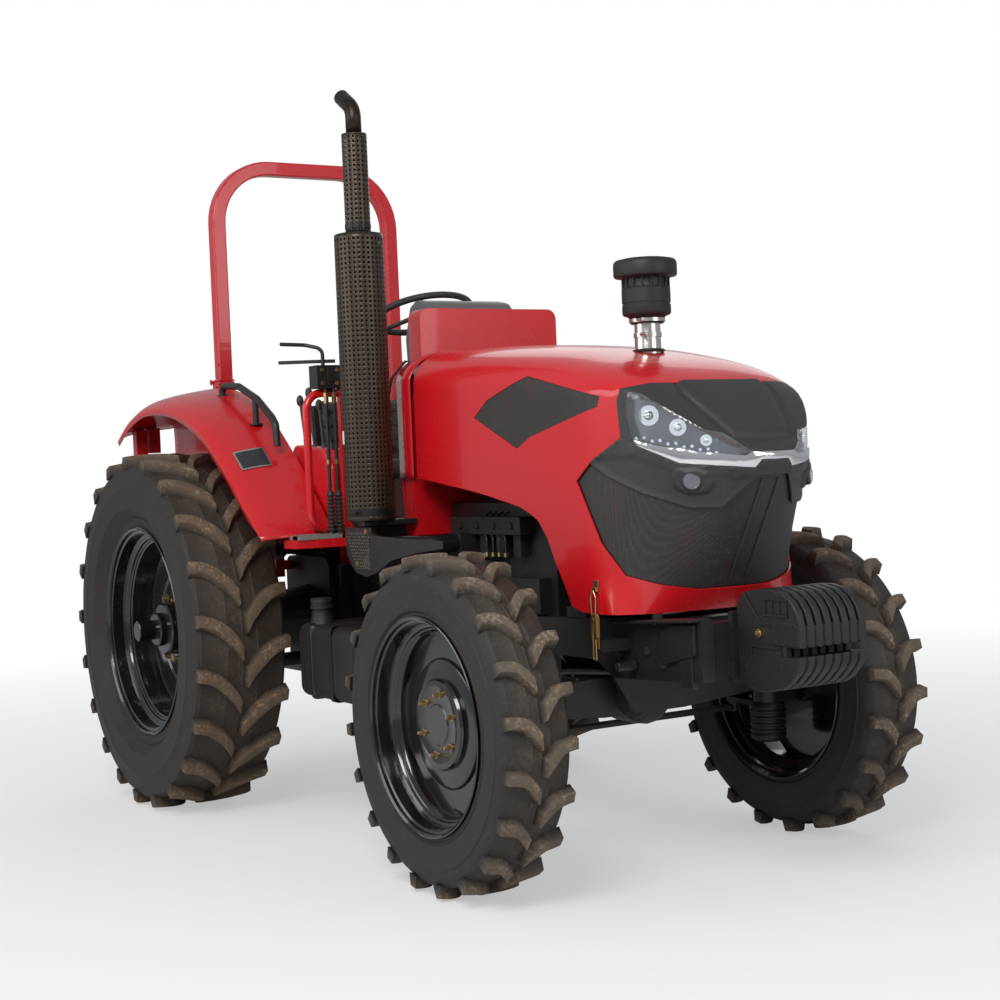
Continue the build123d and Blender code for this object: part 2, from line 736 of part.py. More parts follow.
weight_back = frame_front + seat_gap
weight_pitch = 32.0
weight_thickness = 25.0
weight_count = 8
weight_outline = (
    (weight_back, 876), (2773, 909), (2819, 924), (2890, 926), (2975, 900), (3008, 860), (front_reach, 766),
    (2950, 764), (2950, 736), (front_reach, 742), (2990, 690), (2930, 642), (2823, 630), (weight_back, 657),
)
with BuildPart() as front_weights:
    for number in range(weight_count):
        low = weight_pitch * (number - (weight_count - 1) / 2) - weight_thickness / 2
        across(weight_outline, low, low + weight_thickness)
    edge = weight_pitch * (weight_count - 1) / 2 + weight_thickness / 2
    rod((2846, -edge - 12, 801), (2846, edge + 12, 801), 14)
    block(weight_back, 2940, -edge, edge, 766, 790)
save(front_weights.part, "front_weights")

with BuildPart() as hood_latches:
    for side in (-1, 1):
        block(2352, 2384, 362 + seat_gap, 376, 745, 850, side)
        rod((2359, side * 378, 711), (2361, side * 378, 800), 9)
        bent_tube(((2368, side * 374, 840), (2362, side * 374, 925), (2380, side * 374, 925),
                   (2382, side * 374, 842)), 4, 6)
save(hood_latches.part, "hood_latches")

# Front axle and steering

with BuildPart() as front_axle:
    beam_low = axle_beam_height - axle_beam_depth / 2
    beam_high = axle_beam_height + axle_beam_depth / 2
    beam = (
        (-kingpin_offset, beam_low + 12), (-160, beam_low - 20), (160, beam_low - 20),
        (kingpin_offset, beam_low + 12), (kingpin_offset, beam_high - 12), (160, beam_high), (-160, beam_high),
        (-kingpin_offset, beam_high - 12),
    )
    lengthwise(beam, wheelbase - 55, wheelbase + 55)
    middle = Plane(origin=(ahead(wheelbase - 110), 0, axle_beam_height), x_dir=(0, 1, 0), z_dir=(1, 0, 0))
    barrel(((0, 70), (50, 112), (170, 112), (220, 80)), middle)
    for side in (-1, 1):
        bar((wheelbase, side * kingpin_offset, beam_low), (wheelbase, side * kingpin_offset, beam_high), 58)
        bar((wheelbase, side * kingpin_offset, 300), (wheelbase, side * kingpin_offset, 800),
            kingpin_radius + running_gap, mode=Mode.SUBTRACT)
save(front_axle.part, "front_axle")

fork_y = kingpin_offset + 66
fork_thickness = 24
fork_low = beam_low - 50
fork_high = beam_high + 50
arm_low = fork_low - 18
for side, word in ((-1, "right"), (1, "left")):
    with BuildPart() as knuckle:
        pin_foot = (wheelbase, side * kingpin_offset, fork_low)
        bar(pin_foot, (wheelbase, side * kingpin_offset, fork_high), kingpin_radius)
        for low, high in ((fork_low, beam_low - seat_gap), (beam_high + seat_gap, fork_high)):
            bar((wheelbase, side * kingpin_offset, low), (wheelbase, side * kingpin_offset, high), 48)
            block(wheelbase - 48, wheelbase + 48, kingpin_offset, fork_y + fork_thickness, low, high, side)
        block(wheelbase - 48, wheelbase + 48, fork_y, fork_y + fork_thickness, fork_low, fork_high, side)
        bar((wheelbase, side * fork_y, front_hub_height), (wheelbase, side * (fork_y + 28), front_hub_height), 62)
        bar((wheelbase, side * fork_y, front_hub_height), (wheelbase, side * (fork_y + 98), front_hub_height),
            front_spindle_radius)
        arm = (
            (wheelbase + 40, kingpin_offset - 30), (wheelbase + 40, kingpin_offset + 30),
            (wheelbase - tie_rod_back - 20, kingpin_offset + 18), (wheelbase - tie_rod_back - 20, kingpin_offset - 18),
        )
        upward(arm, arm_low, fork_low, side)
        bar((wheelbase - tie_rod_back, side * kingpin_offset, arm_low - 5),
            (wheelbase - tie_rod_back, side * kingpin_offset, fork_low + 5), tie_stud_radius + running_gap,
            mode=Mode.SUBTRACT)
    save(knuckle.part, "knuckle_" + word)

tie_rod_height = arm_low - 17
with BuildPart() as tie_rod:
    tie_x = wheelbase - tie_rod_back
    bar((tie_x, -kingpin_offset, tie_rod_height), (tie_x, kingpin_offset, tie_rod_height), 12)
    for side in (-1, 1):
        place = (tie_x, side * kingpin_offset)
        bar((*place, tie_rod_height - 14), (*place, arm_low - seat_gap), 16)
        bar((*place, tie_rod_height), (*place, fork_low), tie_stud_radius)
save(tie_rod.part, "tie_rod")

# Platform, fenders and cowl

with BuildPart() as platform:
    deck = (
        (120, 519.7), (860, 519.7), (860, 620), (880, 700), (990, 700), (1010, 455), (platform_front, 400),
        (platform_front, -400), (1010, -455), (990, -700), (880, -700), (860, -620), (860, -519.7), (120, -519.7),
    )
    upward(deck, platform_top - platform_thickness, platform_top)
    for rear, near, far in ((-236, -270, 270), (0, 260, 380), (0, -380, -260)):
        seat_deck = (
            (114, platform_top - 10), (120, platform_top - 10), (106, 1136), (rear, 1136), (rear, 1130),
            (100, 1130),
        )
        across(seat_deck, near, far)
    for side in (-1, 1):
        for x in (220, 920):
            block(x, x + 90, 90, 150, 800, platform_top - 5, side)
        block(-200, -160, 230, 270, case_high + seat_gap - 90, 1133, side)
        block(-200, -160, 120, 270, 900, 940, side)
        upward(((1010, 280), (1149, 280), (1149, 398), (1010, 450)), platform_top - 5, platform_top + 18, side)
        upward(((944, 590), (1000, 590), (986, 694), (944, 694)), platform_top - 2, platform_top + 16, side)
    add(transmission_case.part, mode=Mode.SUBTRACT)
    add(rear_axle_case.part, mode=Mode.SUBTRACT)
save(platform.part, "platform")

fender_arch = (
    (905, 1075), (820, 1150), (730, 1222), (640, 1297), (550, 1362), (460, 1424), (370, 1478), (265, 1524),
    (160, 1558), (50, 1582), (-65, 1596), (-180, 1598), (-290, 1590), (-450, 1548), (-580, 1482),
)


def fender_points(rise):
    """The arch over the rear wheel, let out from the axle by rise where it is straight above."""
    points = []
    for x, z in fender_arch:
        reach = ((x ** 2) + (z - rear_axle_height) ** 2) ** 0.5
        grow = 1 + rise * max(0.0, (z - rear_axle_height) / reach) / reach
        points.append((ahead(x * grow), rear_axle_height + (z - rear_axle_height) * grow))
    return points


def fender_form(side, inset, beyond):
    """Closed form of the fender, drawn in by inset and let out beyond its open sides."""
    with BuildPart() as form:
        for y, rise in ((fender_lip_y + beyond, 0.0), (700.0, 55.0), (fender_inner_y + inset, 85.0)):
            points = fender_points(rise - inset)
            front_x, front_z = points[0]
            rear_x, rear_z = points[-1]
            foot = platform_top - beyond
            with BuildSketch(Plane.XZ.offset(-side * y)):
                with BuildLine():
                    Polyline(
                        *points, (rear_x - beyond - 1, rear_z), (rear_x - beyond - 1, foot), (front_x, foot),
                        close=True,
                    )
                make_face()
        loft(ruled=True)
    return form.part


fender_solids = [fender_form(side, 0.0, 0.0) for side in (-1, 1)]
fender_hollows = [fender_form(side, fender_thickness, 60.0) for side in (-1, 1)]
with BuildPart() as fenders:
    for solid, hollow in zip(fender_solids, fender_hollows):
        add(solid - hollow)
save(fenders.part, "fenders")

with BuildPart() as fender_handles:
    for side in (-1, 1):
        y = side * 600
        bent_tube(
            ((130, y, 1600), (130, y, 1674), (300, y, 1664), (470, y, 1604), (612, y, 1524), (640, y, 1350)),
            14, 30,
        )
    for solid in fender_solids:
        add(solid, mode=Mode.SUBTRACT)
save(fender_handles.part, "fender_handles")

with BuildPart() as rear_lamps:
    for side in (-1, 1):
        block(-560, -500, 600, 740, 1480, 1650, side)
    for solid in fender_solids:
        add(solid, mode=Mode.SUBTRACT)
save(rear_lamps.part, "rear_lamps")

with BuildPart() as cowl:
    arch = [(y, z) for y, z in arch_points(hood_half_width - 4, 1736, 1486, 0)]
    inner = [(y, z) for y, z in arch_points(hood_half_width - 8, 1732, 1486, 0)]
    ring = [(hood_half_width - 4, 1277)] + arch + [(-hood_half_width + 4, 1277)]
    hollow = [(hood_half_width - 8, 1270)] + inner + [(-hood_half_width + 8, 1270)]
    lengthwise(ring, cowl_rear, cowl_front)
    lengthwise(hollow, cowl_rear - 5, cowl_front + 5, mode=Mode.SUBTRACT)
    lengthwise(
        [(340, platform_top + seat_gap), (352, 1277), (352, 1520), (300, 1660), (-300, 1660), (-352, 1520),
         (-352, 1277), (-340, platform_top + seat_gap)],
        bulkhead_x, bulkhead_x + bulkhead_thickness,
    )
    for side in (-1, 1):
        cheek = ((cowl_rear, 1277), (1150 + seat_gap, platform_top + seat_gap),
                 (bulkhead_x, platform_top + seat_gap), (bulkhead_x, 1300), (cowl_rear, 1300))
        across(cheek, 336, 342, side)
        bracket = (
            (bulkhead_x, hood_hinge_z - 100), (hood_hinge_x + 12, hood_hinge_z - 100),
            (hood_hinge_x + 12, hood_hinge_z), (hood_hinge_x + 6, hood_hinge_z + 10),
            (hood_hinge_x - 6, hood_hinge_z + 10), (hood_hinge_x - 12, hood_hinge_z - 4),
            (hood_hinge_x - 25, hood_hinge_z - 14), (bulkhead_x, hood_hinge_z - 14),
        )
        across(bracket, hood_hinge_y + 10, hood_hinge_y + 18, side)
        bar((hood_hinge_x, side * (hood_hinge_y - 12), hood_hinge_z),
            (hood_hinge_x, side * (hood_hinge_y + 18), hood_hinge_z), hinge_pin_radius)
    lengthwise(
        [(-shroud_half_width, 1300), (shroud_half_width, 1300), (shroud_half_width, shroud_top - 25),
         (shroud_half_width - 25, shroud_top), (-shroud_half_width + 25, shroud_top),
         (-shroud_half_width, shroud_top - 25)],
        1150, bulkhead_x,
    )
    lengthwise(
        [(-shroud_half_width + 4, 1290), (shroud_half_width - 4, 1290), (shroud_half_width - 4, shroud_top - 27),
         (shroud_half_width - 27, shroud_top - 4), (-shroud_half_width + 27, shroud_top - 4),
         (-shroud_half_width + 4, shroud_top - 27)],
        1140, bulkhead_x - 4, mode=Mode.SUBTRACT,
    )
    block(1100, 1240, -275, 275, platform_top + seat_gap, platform_top + 8)
save(cowl.part, "cowl")

with BuildPart() as dashboard:
    across(
        ((1150 - seat_gap, 1480), (1150 - seat_gap, 1862), (1092, 1922), (1010, 1938), (962, 1918), (918, 1800),
         (938, 1500)),
        -186, 186, rounding=16,
    )
    block(1150 - seat_gap - 1, bulkhead_x - 4 - seat_gap, -186, 186, 1600, 1840)
save(dashboard.part, "dashboard")

screen_outline = (
    (286, platform_top + 19 + seat_gap), (398, platform_top + 19 + seat_gap), (402, 1500), (372, 1640), (310, 1705),
    (286, 1705),
)
with BuildPart() as side_screens:
    for side in (-1, 1):
        lengthwise(screen_outline, platform_front - seat_gap - 6, platform_front - seat_gap, side)
save(side_screens.part, "side_screens")

steering_hub = Plane(
    origin=(ahead(wheel_hub_x), 0, wheel_hub_z),
    x_dir=(0, 1, 0),
    z_dir=(-sin(radians(wheel_tilt)), 0, cos(radians(wheel_tilt))),
)
with BuildPart() as steering_wheel:
    ring_turn = 2 * pi / 24
    for step in range(24):
        ends = []
        for turn in (step * ring_turn, (step + 1) * ring_turn):
            plane = Plane(
                origin=steering_hub.from_local_coords(
                    (steering_wheel_radius * cos(turn), steering_wheel_radius * sin(turn), 0)
                ),
                x_dir=steering_hub.z_dir,
                z_dir=steering_hub.y_dir * cos(turn) - steering_hub.x_dir * sin(turn),
            )
            with BuildSketch(plane) as section:
                RegularPolygon(13, 8)
            ends.append(section.sketch)
        loft(ends, ruled=True)
    with BuildSketch(steering_hub.offset(-25)) as boss:
        RegularPolygon(36, 16)
    extrude(boss.sketch, amount=40, dir=steering_hub.z_dir)
    with BuildSketch(steering_hub.offset(-14)) as spokes:
        for turn in (90, 210, 330):
            with PolarLocations(steering_wheel_radius / 2, 1, start_angle=turn):
                Rectangle(steering_wheel_radius - 4, 22)
    extrude(spokes.sketch, amount=10, dir=steering_hub.z_dir)
save(steering_wheel.part, "steering_wheel")

column_reach = (wheel_hub_z - platform_top) / cos(radians(wheel_tilt)) + 40
with BuildPart() as steering_column:
    with BuildSketch(steering_hub.offset(-25 - seat_gap)) as tube:
        Circle(24)
    extrude(tube.sketch, amount=column_reach, dir=-steering_hub.z_dir)
    with BuildSketch(steering_hub.offset(-90)) as sleeve:
        Circle(36)
    extrude(sleeve.sketch, amount=column_reach, dir=-steering_hub.z_dir)
    block(0, 1400, -200, 200, 900, platform_top + seat_gap, mode=Mode.SUBTRACT)
save(steering_column.part, "steering_column")

# Right and left of the driver

with BuildPart() as side_posts:
    for side in (-1, 1):
        block(post_x - 12, post_x + 12, 432, post_outer_y, platform_top + seat_gap, 1690, side)
        block(post_x - 20, post_x + 20, 425, 497, platform_top + seat_gap, platform_top + 12, side)
        bent_tube(((post_x, side * (post_outer_y - 10), 1600), (post_x, side * 620, 1600),
                   (post_x, side * 620, 1105), (post_x, side * (post_outer_y - 10), 1105)), 15, 60)
save(side_posts.part, "side_posts")

with BuildPart() as lever_console:
    console = ((560, platform_top + seat_gap), (920, platform_top + seat_gap), (920, 1330), (860, 1400), (600, 1420),
               (560, 1380))
    across(console, 440, 514, -1)

with BuildPart() as control_linkage:
    block(post_x - 34, post_x + 40, post_outer_y + seat_gap, 592, 1615 + seat_gap, 1702, -1)
    for y, boot in ((520, 14), (552, 15)):
        rod((post_x + 28, -y, platform_top + seat_gap), (post_x + 28, -y, 1620), 6.5)
        rod((post_x + 28, -y, platform_top + 60), (post_x + 28, -y, 1250), boot)
save(control_linkage.part, "control_linkage")

with BuildPart() as control_levers:
    for x, lean, top in ((640, -40, 1585), (710, -30, 1610), (790, -26, 1560), (850, -20, 1530)):
        rod((x, -478, 1370), (x + lean, -478, top), 5.5)
        rod((x + lean, -478, top - 24), (x + lean * 1.1, -478, top + 26), 14)
    add(lever_console.part)
save(control_levers.part, "lever_console")

# Seat

with BuildPart() as seat_base:
    block(180, 480, -160, 160, platform_top + seat_gap, platform_top + 180)
    block(130, 550, -220, 220, platform_top + 178, platform_top + 205)
    back = ((125, 1262), (152, 1262), (112, 1590), (92, 1590))
    across(back, -190, 190)
save(seat_base.part, "seat_base")

with BuildPart() as seat_cushion:
    cushion = ((160, platform_top + 205 + seat_gap), (560, platform_top + 205 + seat_gap), (560, 1330), (530, 1362), (200, 1350), (164, 1330))
    across(cushion, -215, 215)
    chamfer(seat_cushion.faces().sort_by(Axis.Y)[0].edges() + seat_cushion.faces().sort_by(Axis.Y)[-1].edges(), 22)

with BuildPart() as seat_back:
    padding = ((130, 1362), (212, 1366), (186, 1600), (150, 1630), (118, 1612), (110, 1590))
    across(padding, -205, 205)
    chamfer(seat_back.faces().sort_by(Axis.Y)[0].edges() + seat_back.faces().sort_by(Axis.Y)[-1].edges(), 18)
    behind = ((0, 1200), (152 + seat_gap, 1200), (152 + seat_gap, 1262), (112 + seat_gap, 1590 + seat_gap),
              (0, 1590 + seat_gap))
    across(behind, -191, 191, mode=Mode.SUBTRACT)
    add(seat_cushion.part)
save(seat_back.part, "seat_cushion")

# Fuel tank, battery box and steps

with BuildPart() as fuel_tank:
    across(((770, 484), (1350, 484), (1350, 757), (770, 757)), 330, 620, -1, rounding=45)
    rod((880, -560, 750), (880, -560, 812), 34)
    rod((880, -560, 806), (880, -560, 850), 42)
    for x in (880, 1230):
        block(x, x + 40, 326, 624, 480, 761, -1)
save(fuel_tank.part, "fuel_tank")

with BuildPart() as battery_box:
    block(800, 1150, 324, 540, 500, 730, 1)
    block(792, 1158, 324, 548, 730, 760, 1)
save(battery_box.part, "battery_box")

with BuildPart() as side_brackets:
    for x in (880, 1100):
        block(x, x + 50, -326 + seat_gap, 324 - seat_gap, 580, 630)
    add(transmission_case.part, mode=Mode.SUBTRACT)
    for x in (872, 990):
        block(x, x + 8, 600, 640, 520, platform_top - platform_thickness - seat_gap, 1)
    for height in (520, 770):
        block(872, 998, 580, 700, height, height + 22, 1)
save(side_brackets.part, "side_brackets")

# Exhaust and air intake

with BuildPart() as silencer:
    stack = Plane(origin=(ahead(silencer_x), silencer_y, silencer_low), x_dir=(1, 0, 0), z_dir=(0, 0, 1))
    barrel(((0, silencer_radius), (silencer_high - silencer_low, silencer_radius)), stack)
    barrel(((silencer_high - silencer_low, tail_guard_radius), (tail_guard_high - silencer_low, tail_guard_radius)),
           stack)
save(silencer.part, "silencer_guard")

with BuildPart() as exhaust_tip:
    tip_route = (
        (silencer_x, silencer_y, tail_guard_high + seat_gap), (silencer_x, silencer_y, 2592),
        (silencer_x - 62, silencer_y - 12, 2640),
    )
    bent_tube(tip_route, tail_pipe_radius, 40)
    bent_tube(((silencer_x, silencer_y, 2530), *tip_route[1:]), tail_pipe_radius - 3, 40, mode=Mode.SUBTRACT)
save(exhaust_tip.part, "exhaust_tip")

with BuildPart() as exhaust_elbow:
    bent_tube(
        ((silencer_x, silencer_y, silencer_low - seat_gap), (silencer_x, silencer_y, 1045), (1435, -400, 1045),
         (1435, -300 - seat_gap, 1045)),
        32, 45,
    )
    block(1150 + seat_gap, 1160, 345, 470, 1040, silencer_low - seat_gap, -1)
    block(1150 + seat_gap, 1250, 345, 560, silencer_low - 18, silencer_low - seat_gap, -1)
    guard = (
        (1100, 1110), (1100, 1050), (1130, 985), (1180, 950), (1250, 938), (1330, 955), (1440, 1000), (1620, 1030),
        (1800, 1048), (1800, 1072), (1480, 1078), (1300, 1086), (1300, 1110),
    )
    across(guard, 556, 560, -1)
    block(1150 + seat_gap, 1158, 470 + seat_gap, 558, 1040, 1110, -1)
    block(1300 - 8, 1300, 470, 558, 1090, 1110, -1)
    block(1150 + 1, 1300, 540, 558, 1112 - 6, 1112, -1)
save(exhaust_elbow.part, "exhaust_elbow")

with BuildPart() as air_precleaner:
    stack = Plane(origin=(ahead(intake_x), 0, 1560), x_dir=(1, 0, 0), z_dir=(0, 0, 1))
    bar((intake_x, 0, 1560), (intake_x, 0, 1762), intake_pipe_radius)
    barrel(((180, 56), (190, 78), (330, 78), (333, 102), (384, 102), (392, 84)), stack)
save(air_precleaner.part, "air_precleaner")

# Rear linkage

with BuildPart() as lift_housing:
    across(((-210, case_high + seat_gap), (110, case_high + seat_gap), (110, 1060), (60, 1086), (-160, 1086),
            (-210, 1060)), -170, 170)
    for side in (-1, 1):
        bar((rockshaft_x, side * 160, rockshaft_z), (rockshaft_x, side * 215, rockshaft_z), 38)
    bar((rockshaft_x, -300, rockshaft_z), (rockshaft_x, 300, rockshaft_z), rockshaft_radius + running_gap,
        mode=Mode.SUBTRACT)
save(lift_housing.part, "lift_housing")

with BuildPart() as lift_arms:
    bar((rockshaft_x, -lift_arm_y - 25, rockshaft_z), (rockshaft_x, lift_arm_y + 25, rockshaft_z), rockshaft_radius)
    for side in (-1, 1):
        arm = (
            (rockshaft_x + 42, rockshaft_z + 30), (rockshaft_x + 42, rockshaft_z - 30),
            (rockshaft_x, rockshaft_z - 48), (rockshaft_x - lift_arm_length - 25, rockshaft_z - 20),
            (rockshaft_x - lift_arm_length - 25, rockshaft_z + 20), (rockshaft_x, rockshaft_z + 48),
        )
        across(arm, lift_arm_y - 15, lift_arm_y + 15, side)
        pin_x = rockshaft_x - lift_arm_length
        bar((pin_x, side * (lift_arm_y - 40), rockshaft_z), (pin_x, side * (lift_arm_y + 40), rockshaft_z),
            lift_pin_radius + running_gap, mode=Mode.SUBTRACT)
save(lift_arms.part, "lift_arms")

link_end_x = link_pivot_x - link_length
link_pin_x = link_pivot_x - lift_arm_length
with BuildPart() as lower_links:
    for side in (-1, 1):
        link = (
            (link_pivot_x + 38, link_pivot_z - 20), (link_pivot_x + 38, link_pivot_z + 20),
            (link_pivot_x, link_pivot_z + 38), (link_pin_x, link_pivot_z + 32), (link_end_x, link_pivot_z + 42),
            (link_end_x - 42, link_pivot_z + 20), (link_end_x - 42, link_pivot_z - 20),
            (link_end_x, link_pivot_z - 42), (link_pin_x, link_pivot_z - 32), (link_pivot_x, link_pivot_z - 38),
        )
        across(link, link_y - link_thickness / 2, link_y + link_thickness / 2, side)
    for x, radius in (
        (link_end_x, link_ball_bore), (link_pin_x, lift_pin_radius + running_gap),
        (link_pivot_x, link_shaft_radius + running_gap),
    ):
        bar((x, -500, link_pivot_z), (x, 500, link_pivot_z), radius, mode=Mode.SUBTRACT)
save(lower_links.part, "lower_links")

with BuildPart() as lift_rods:
    for side in (-1, 1):
        top = (rockshaft_x - lift_arm_length, side * (lift_arm_y + 42), rockshaft_z)
        foot = (link_pin_x, side * (link_y - 32), link_pivot_z)
        rod(top, foot, 13, 8)
        rod(top, tuple(0.55 * a + 0.45 * b for a, b in zip(top, foot)), 19, 8)
        bar((top[0], side * (lift_arm_y - 16), rockshaft_z), (top[0], side * (lift_arm_y + 56), rockshaft_z),
            lift_pin_radius)
        rod((top[0], side * (lift_arm_y + 22), rockshaft_z), (top[0], side * (lift_arm_y + 52), rockshaft_z), 24)
        bar((foot[0], side * (link_y - 48), link_pivot_z), (foot[0], side * (link_y + 20), link_pivot_z),
            lift_pin_radius)
        rod((foot[0], side * (link_y - 44), link_pivot_z), (foot[0], side * (link_y - 21), link_pivot_z), 22)
save(lift_rods.part, "lift_rods")

with BuildPart() as top_link_bracket:
    block(-case_half_length - 16, -case_half_length - seat_gap, -60, 60, 850, 935)
    for side in (-1, 1):
        ear = (
            (-case_half_length - 4, 855), (-case_half_length - 4, 930), (top_link_x, top_link_z + 28),
            (top_link_x - 26, top_link_z + 12), (top_link_x - 26, top_link_z - 12), (top_link_x, top_link_z - 28),
        )
        across(ear, 28, 42, side)
    bar((top_link_x, -80, top_link_z), (top_link_x, 80, top_link_z), top_link_bore, mode=Mode.SUBTRACT)
    block(-case_half_length - 14, -case_half_length - seat_gap, -75, 75, 560, 700)
    rod((-case_half_length - 4, 0, 630), (-case_half_length - 85, 0, 630), 17.5)
    block(-case_half_length - 110, -case_half_length - seat_gap, -110, 110, 712, 718)
    for side in (-1, 1):
        block(-case_half_length - 110, -case_half_length - seat_gap, 104, 110, 600, 718, side)
save(top_link_bracket.part, "top_link_bracket")

with BuildPart() as drawbar:
    block(-780, 120, -40, 40, drawbar_low, drawbar_low + drawbar_thickness)
    for x in (-190, 70):
        block(x, x + 60, -70, 70, drawbar_low - 18, case_low - seat_gap)
    bar((drawbar_pin_x, 0, 380), (drawbar_pin_x, 0, 480), drawbar_hole_radius, mode=Mode.SUBTRACT)
save(drawbar.part, "drawbar")
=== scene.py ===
import bmesh
import bpy
from bisect import bisect_left
from math import cos, hypot, pi, radians, sin
from mathutils import Matrix, Vector


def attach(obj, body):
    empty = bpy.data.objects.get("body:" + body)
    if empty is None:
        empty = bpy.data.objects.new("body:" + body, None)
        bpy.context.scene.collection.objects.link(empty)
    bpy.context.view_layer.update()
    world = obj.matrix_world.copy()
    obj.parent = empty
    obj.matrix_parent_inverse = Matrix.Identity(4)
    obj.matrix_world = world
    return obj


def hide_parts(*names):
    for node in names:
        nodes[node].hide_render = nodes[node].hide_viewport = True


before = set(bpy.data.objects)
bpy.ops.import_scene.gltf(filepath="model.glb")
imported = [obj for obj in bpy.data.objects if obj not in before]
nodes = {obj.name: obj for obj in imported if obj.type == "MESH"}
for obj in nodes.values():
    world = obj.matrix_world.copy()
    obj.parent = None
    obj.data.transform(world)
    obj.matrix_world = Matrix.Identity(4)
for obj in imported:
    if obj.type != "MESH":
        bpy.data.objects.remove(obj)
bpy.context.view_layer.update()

# Stage
# A pale studio floor under soft lamps, with the camera where the photograph was taken from:
# ahead and to the right of the tractor, just over bonnet height, with a moderate long lens.

scene = bpy.context.scene
rear_axle_x = -1.0255
front_axle_ahead = 2050.0
front_wheel_out = 690.0
rear_wheel_out = 789.0
front_wheel_radius = 525.0
rear_wheel_radius = 707.5
kingpin_out = 560.0


def spot(x, y, z):
    """A point in the frame from millimetres ahead of the rear axle, to the left and above the ground."""
    return Vector((x / 1000 + rear_axle_x, y / 1000, z / 1000))


def matte(name, color, roughness):
    """A plain studio surface."""
    material = bpy.data.materials.new(name)
    material.use_nodes = True
    shader = material.node_tree.nodes["Principled BSDF"]
    shader.inputs["Base Color"].default_value = (*color, 1.0)
    shader.inputs["Roughness"].default_value = roughness
    return material


def area_light(name, size, power, position, target, tint=(1.0, 1.0, 1.0)):
    """A soft rectangular lamp that faces its target."""
    data = bpy.data.lights.new(name, "AREA")
    data.shape = "RECTANGLE"
    data.size = size[0]
    data.size_y = size[1]
    data.energy = power
    data.color = tint
    lamp = bpy.data.objects.new(name, data)
    lamp.location = position
    lamp.rotation_euler = (Vector(target) - Vector(position)).to_track_quat("-Z", "Y").to_euler()
    scene.collection.objects.link(lamp)


camera_yaw = radians(148.448)
camera_pitch = radians(-1.203)
camera_roll = radians(-2.482)
looking = Vector((cos(camera_pitch) * cos(camera_yaw), cos(camera_pitch) * sin(camera_yaw),
                  sin(camera_pitch)))
level_right = looking.cross(Vector((0, 0, 1))).normalized()
level_up = level_right.cross(looking)
camera_right = cos(camera_roll) * level_right + sin(camera_roll) * level_up
camera_up = cos(camera_roll) * level_up - sin(camera_roll) * level_right
turn = Matrix((camera_right, camera_up, -looking)).transposed().to_4x4()
camera_data = bpy.data.cameras.new("camera")
camera_data.lens = 62.25
camera_data.sensor_width = 36.0
camera_data.clip_end = 200.0
camera = bpy.data.objects.new("camera", camera_data)
camera.matrix_world = Matrix.Translation((5.6344, -3.3188, 1.3151)) @ turn
scene.collection.objects.link(camera)
scene.camera = camera
scene.view_settings.view_transform = "Standard"

area_light("key_lamp", (3.0, 2.4), 260.0, (4.2, -4.2, 5.0), (0.2, 0.0, 0.9), (1.0, 0.98, 0.95))
area_light("side_lamp", (5.0, 2.5), 95.0, (-1.5, -6.5, 3.2), (-0.3, 0.0, 1.0))
area_light("front_lamp", (3.0, 2.5), 70.0, (7.0, 2.0, 3.0), (1.2, 0.0, 0.9), (0.97, 0.98, 1.0))
area_light("back_lamp", (5.0, 3.0), 40.0, (-4.5, 4.0, 4.5), (0.0, 0.0, 1.2))

world = bpy.data.worlds.new("studio")
scene.world = world
world.use_nodes = True
world_nodes = world.node_tree.nodes
world_links = world.node_tree.links
world_nodes.clear()
light_path = world_nodes.new("ShaderNodeLightPath")
seen = world_nodes.new("ShaderNodeMath")
seen.operation = "MAXIMUM"
world_links.new(light_path.outputs["Is Camera Ray"], seen.inputs[0])
world_links.new(light_path.outputs["Is Transmission Ray"], seen.inputs[1])
sky = world_nodes.new("ShaderNodeBackground")
sky.inputs["Color"].default_value = (0.86, 0.89, 0.93, 1.0)
sky.inputs["Strength"].default_value = 0.42
backdrop = world_nodes.new("ShaderNodeBackground")
backdrop.inputs["Color"].default_value = (1.0, 1.0, 1.0, 1.0)
backdrop.inputs["Strength"].default_value = 1.0
mixed = world_nodes.new("ShaderNodeMixShader")
world_links.new(seen.outputs[0], mixed.inputs[0])
world_links.new(sky.outputs[0], mixed.inputs[1])
world_links.new(backdrop.outputs[0], mixed.inputs[2])
world_out = world_nodes.new("ShaderNodeOutputWorld")
world_links.new(mixed.outputs[0], world_out.inputs["Surface"])

bm = bmesh.new()
bmesh.ops.create_grid(bm, x_segments=1, y_segments=1, size=40.0)
floor_mesh = bpy.data.meshes.new("floor")
bm.to_mesh(floor_mesh)
bm.free()
paper = matte("floor_paper", (0.80, 0.80, 0.80), 0.9)
paper_nodes = paper.node_tree.nodes
paper_links = paper.node_tree.links
bright = paper_nodes.new("ShaderNodeEmission")
bright.inputs["Strength"].default_value = 1.0
paper_place = paper_nodes.new("ShaderNodeTexCoord")
paper_reach = paper_nodes.new("ShaderNodeVectorMath")
paper_reach.operation = "LENGTH"
paper_fade = paper_nodes.new("ShaderNodeMapRange")
paper_fade.inputs["From Min"].default_value = 1.5
paper_fade.inputs["From Max"].default_value = 7.0
paper_fade.inputs["To Min"].default_value = 0.45
paper_seen = paper_nodes.new("ShaderNodeLightPath")
paper_share = paper_nodes.new("ShaderNodeMath")
paper_share.operation = "MULTIPLY"
paper_mix = paper_nodes.new("ShaderNodeMixShader")
paper_links.new(paper_place.outputs["Object"], paper_reach.inputs[0])
paper_links.new(paper_reach.outputs["Value"], paper_fade.inputs["Value"])
paper_links.new(paper_fade.outputs[0], paper_share.inputs[0])
paper_links.new(paper_seen.outputs["Is Camera Ray"], paper_share.inputs[1])
paper_links.new(paper_share.outputs[0], paper_mix.inputs[0])
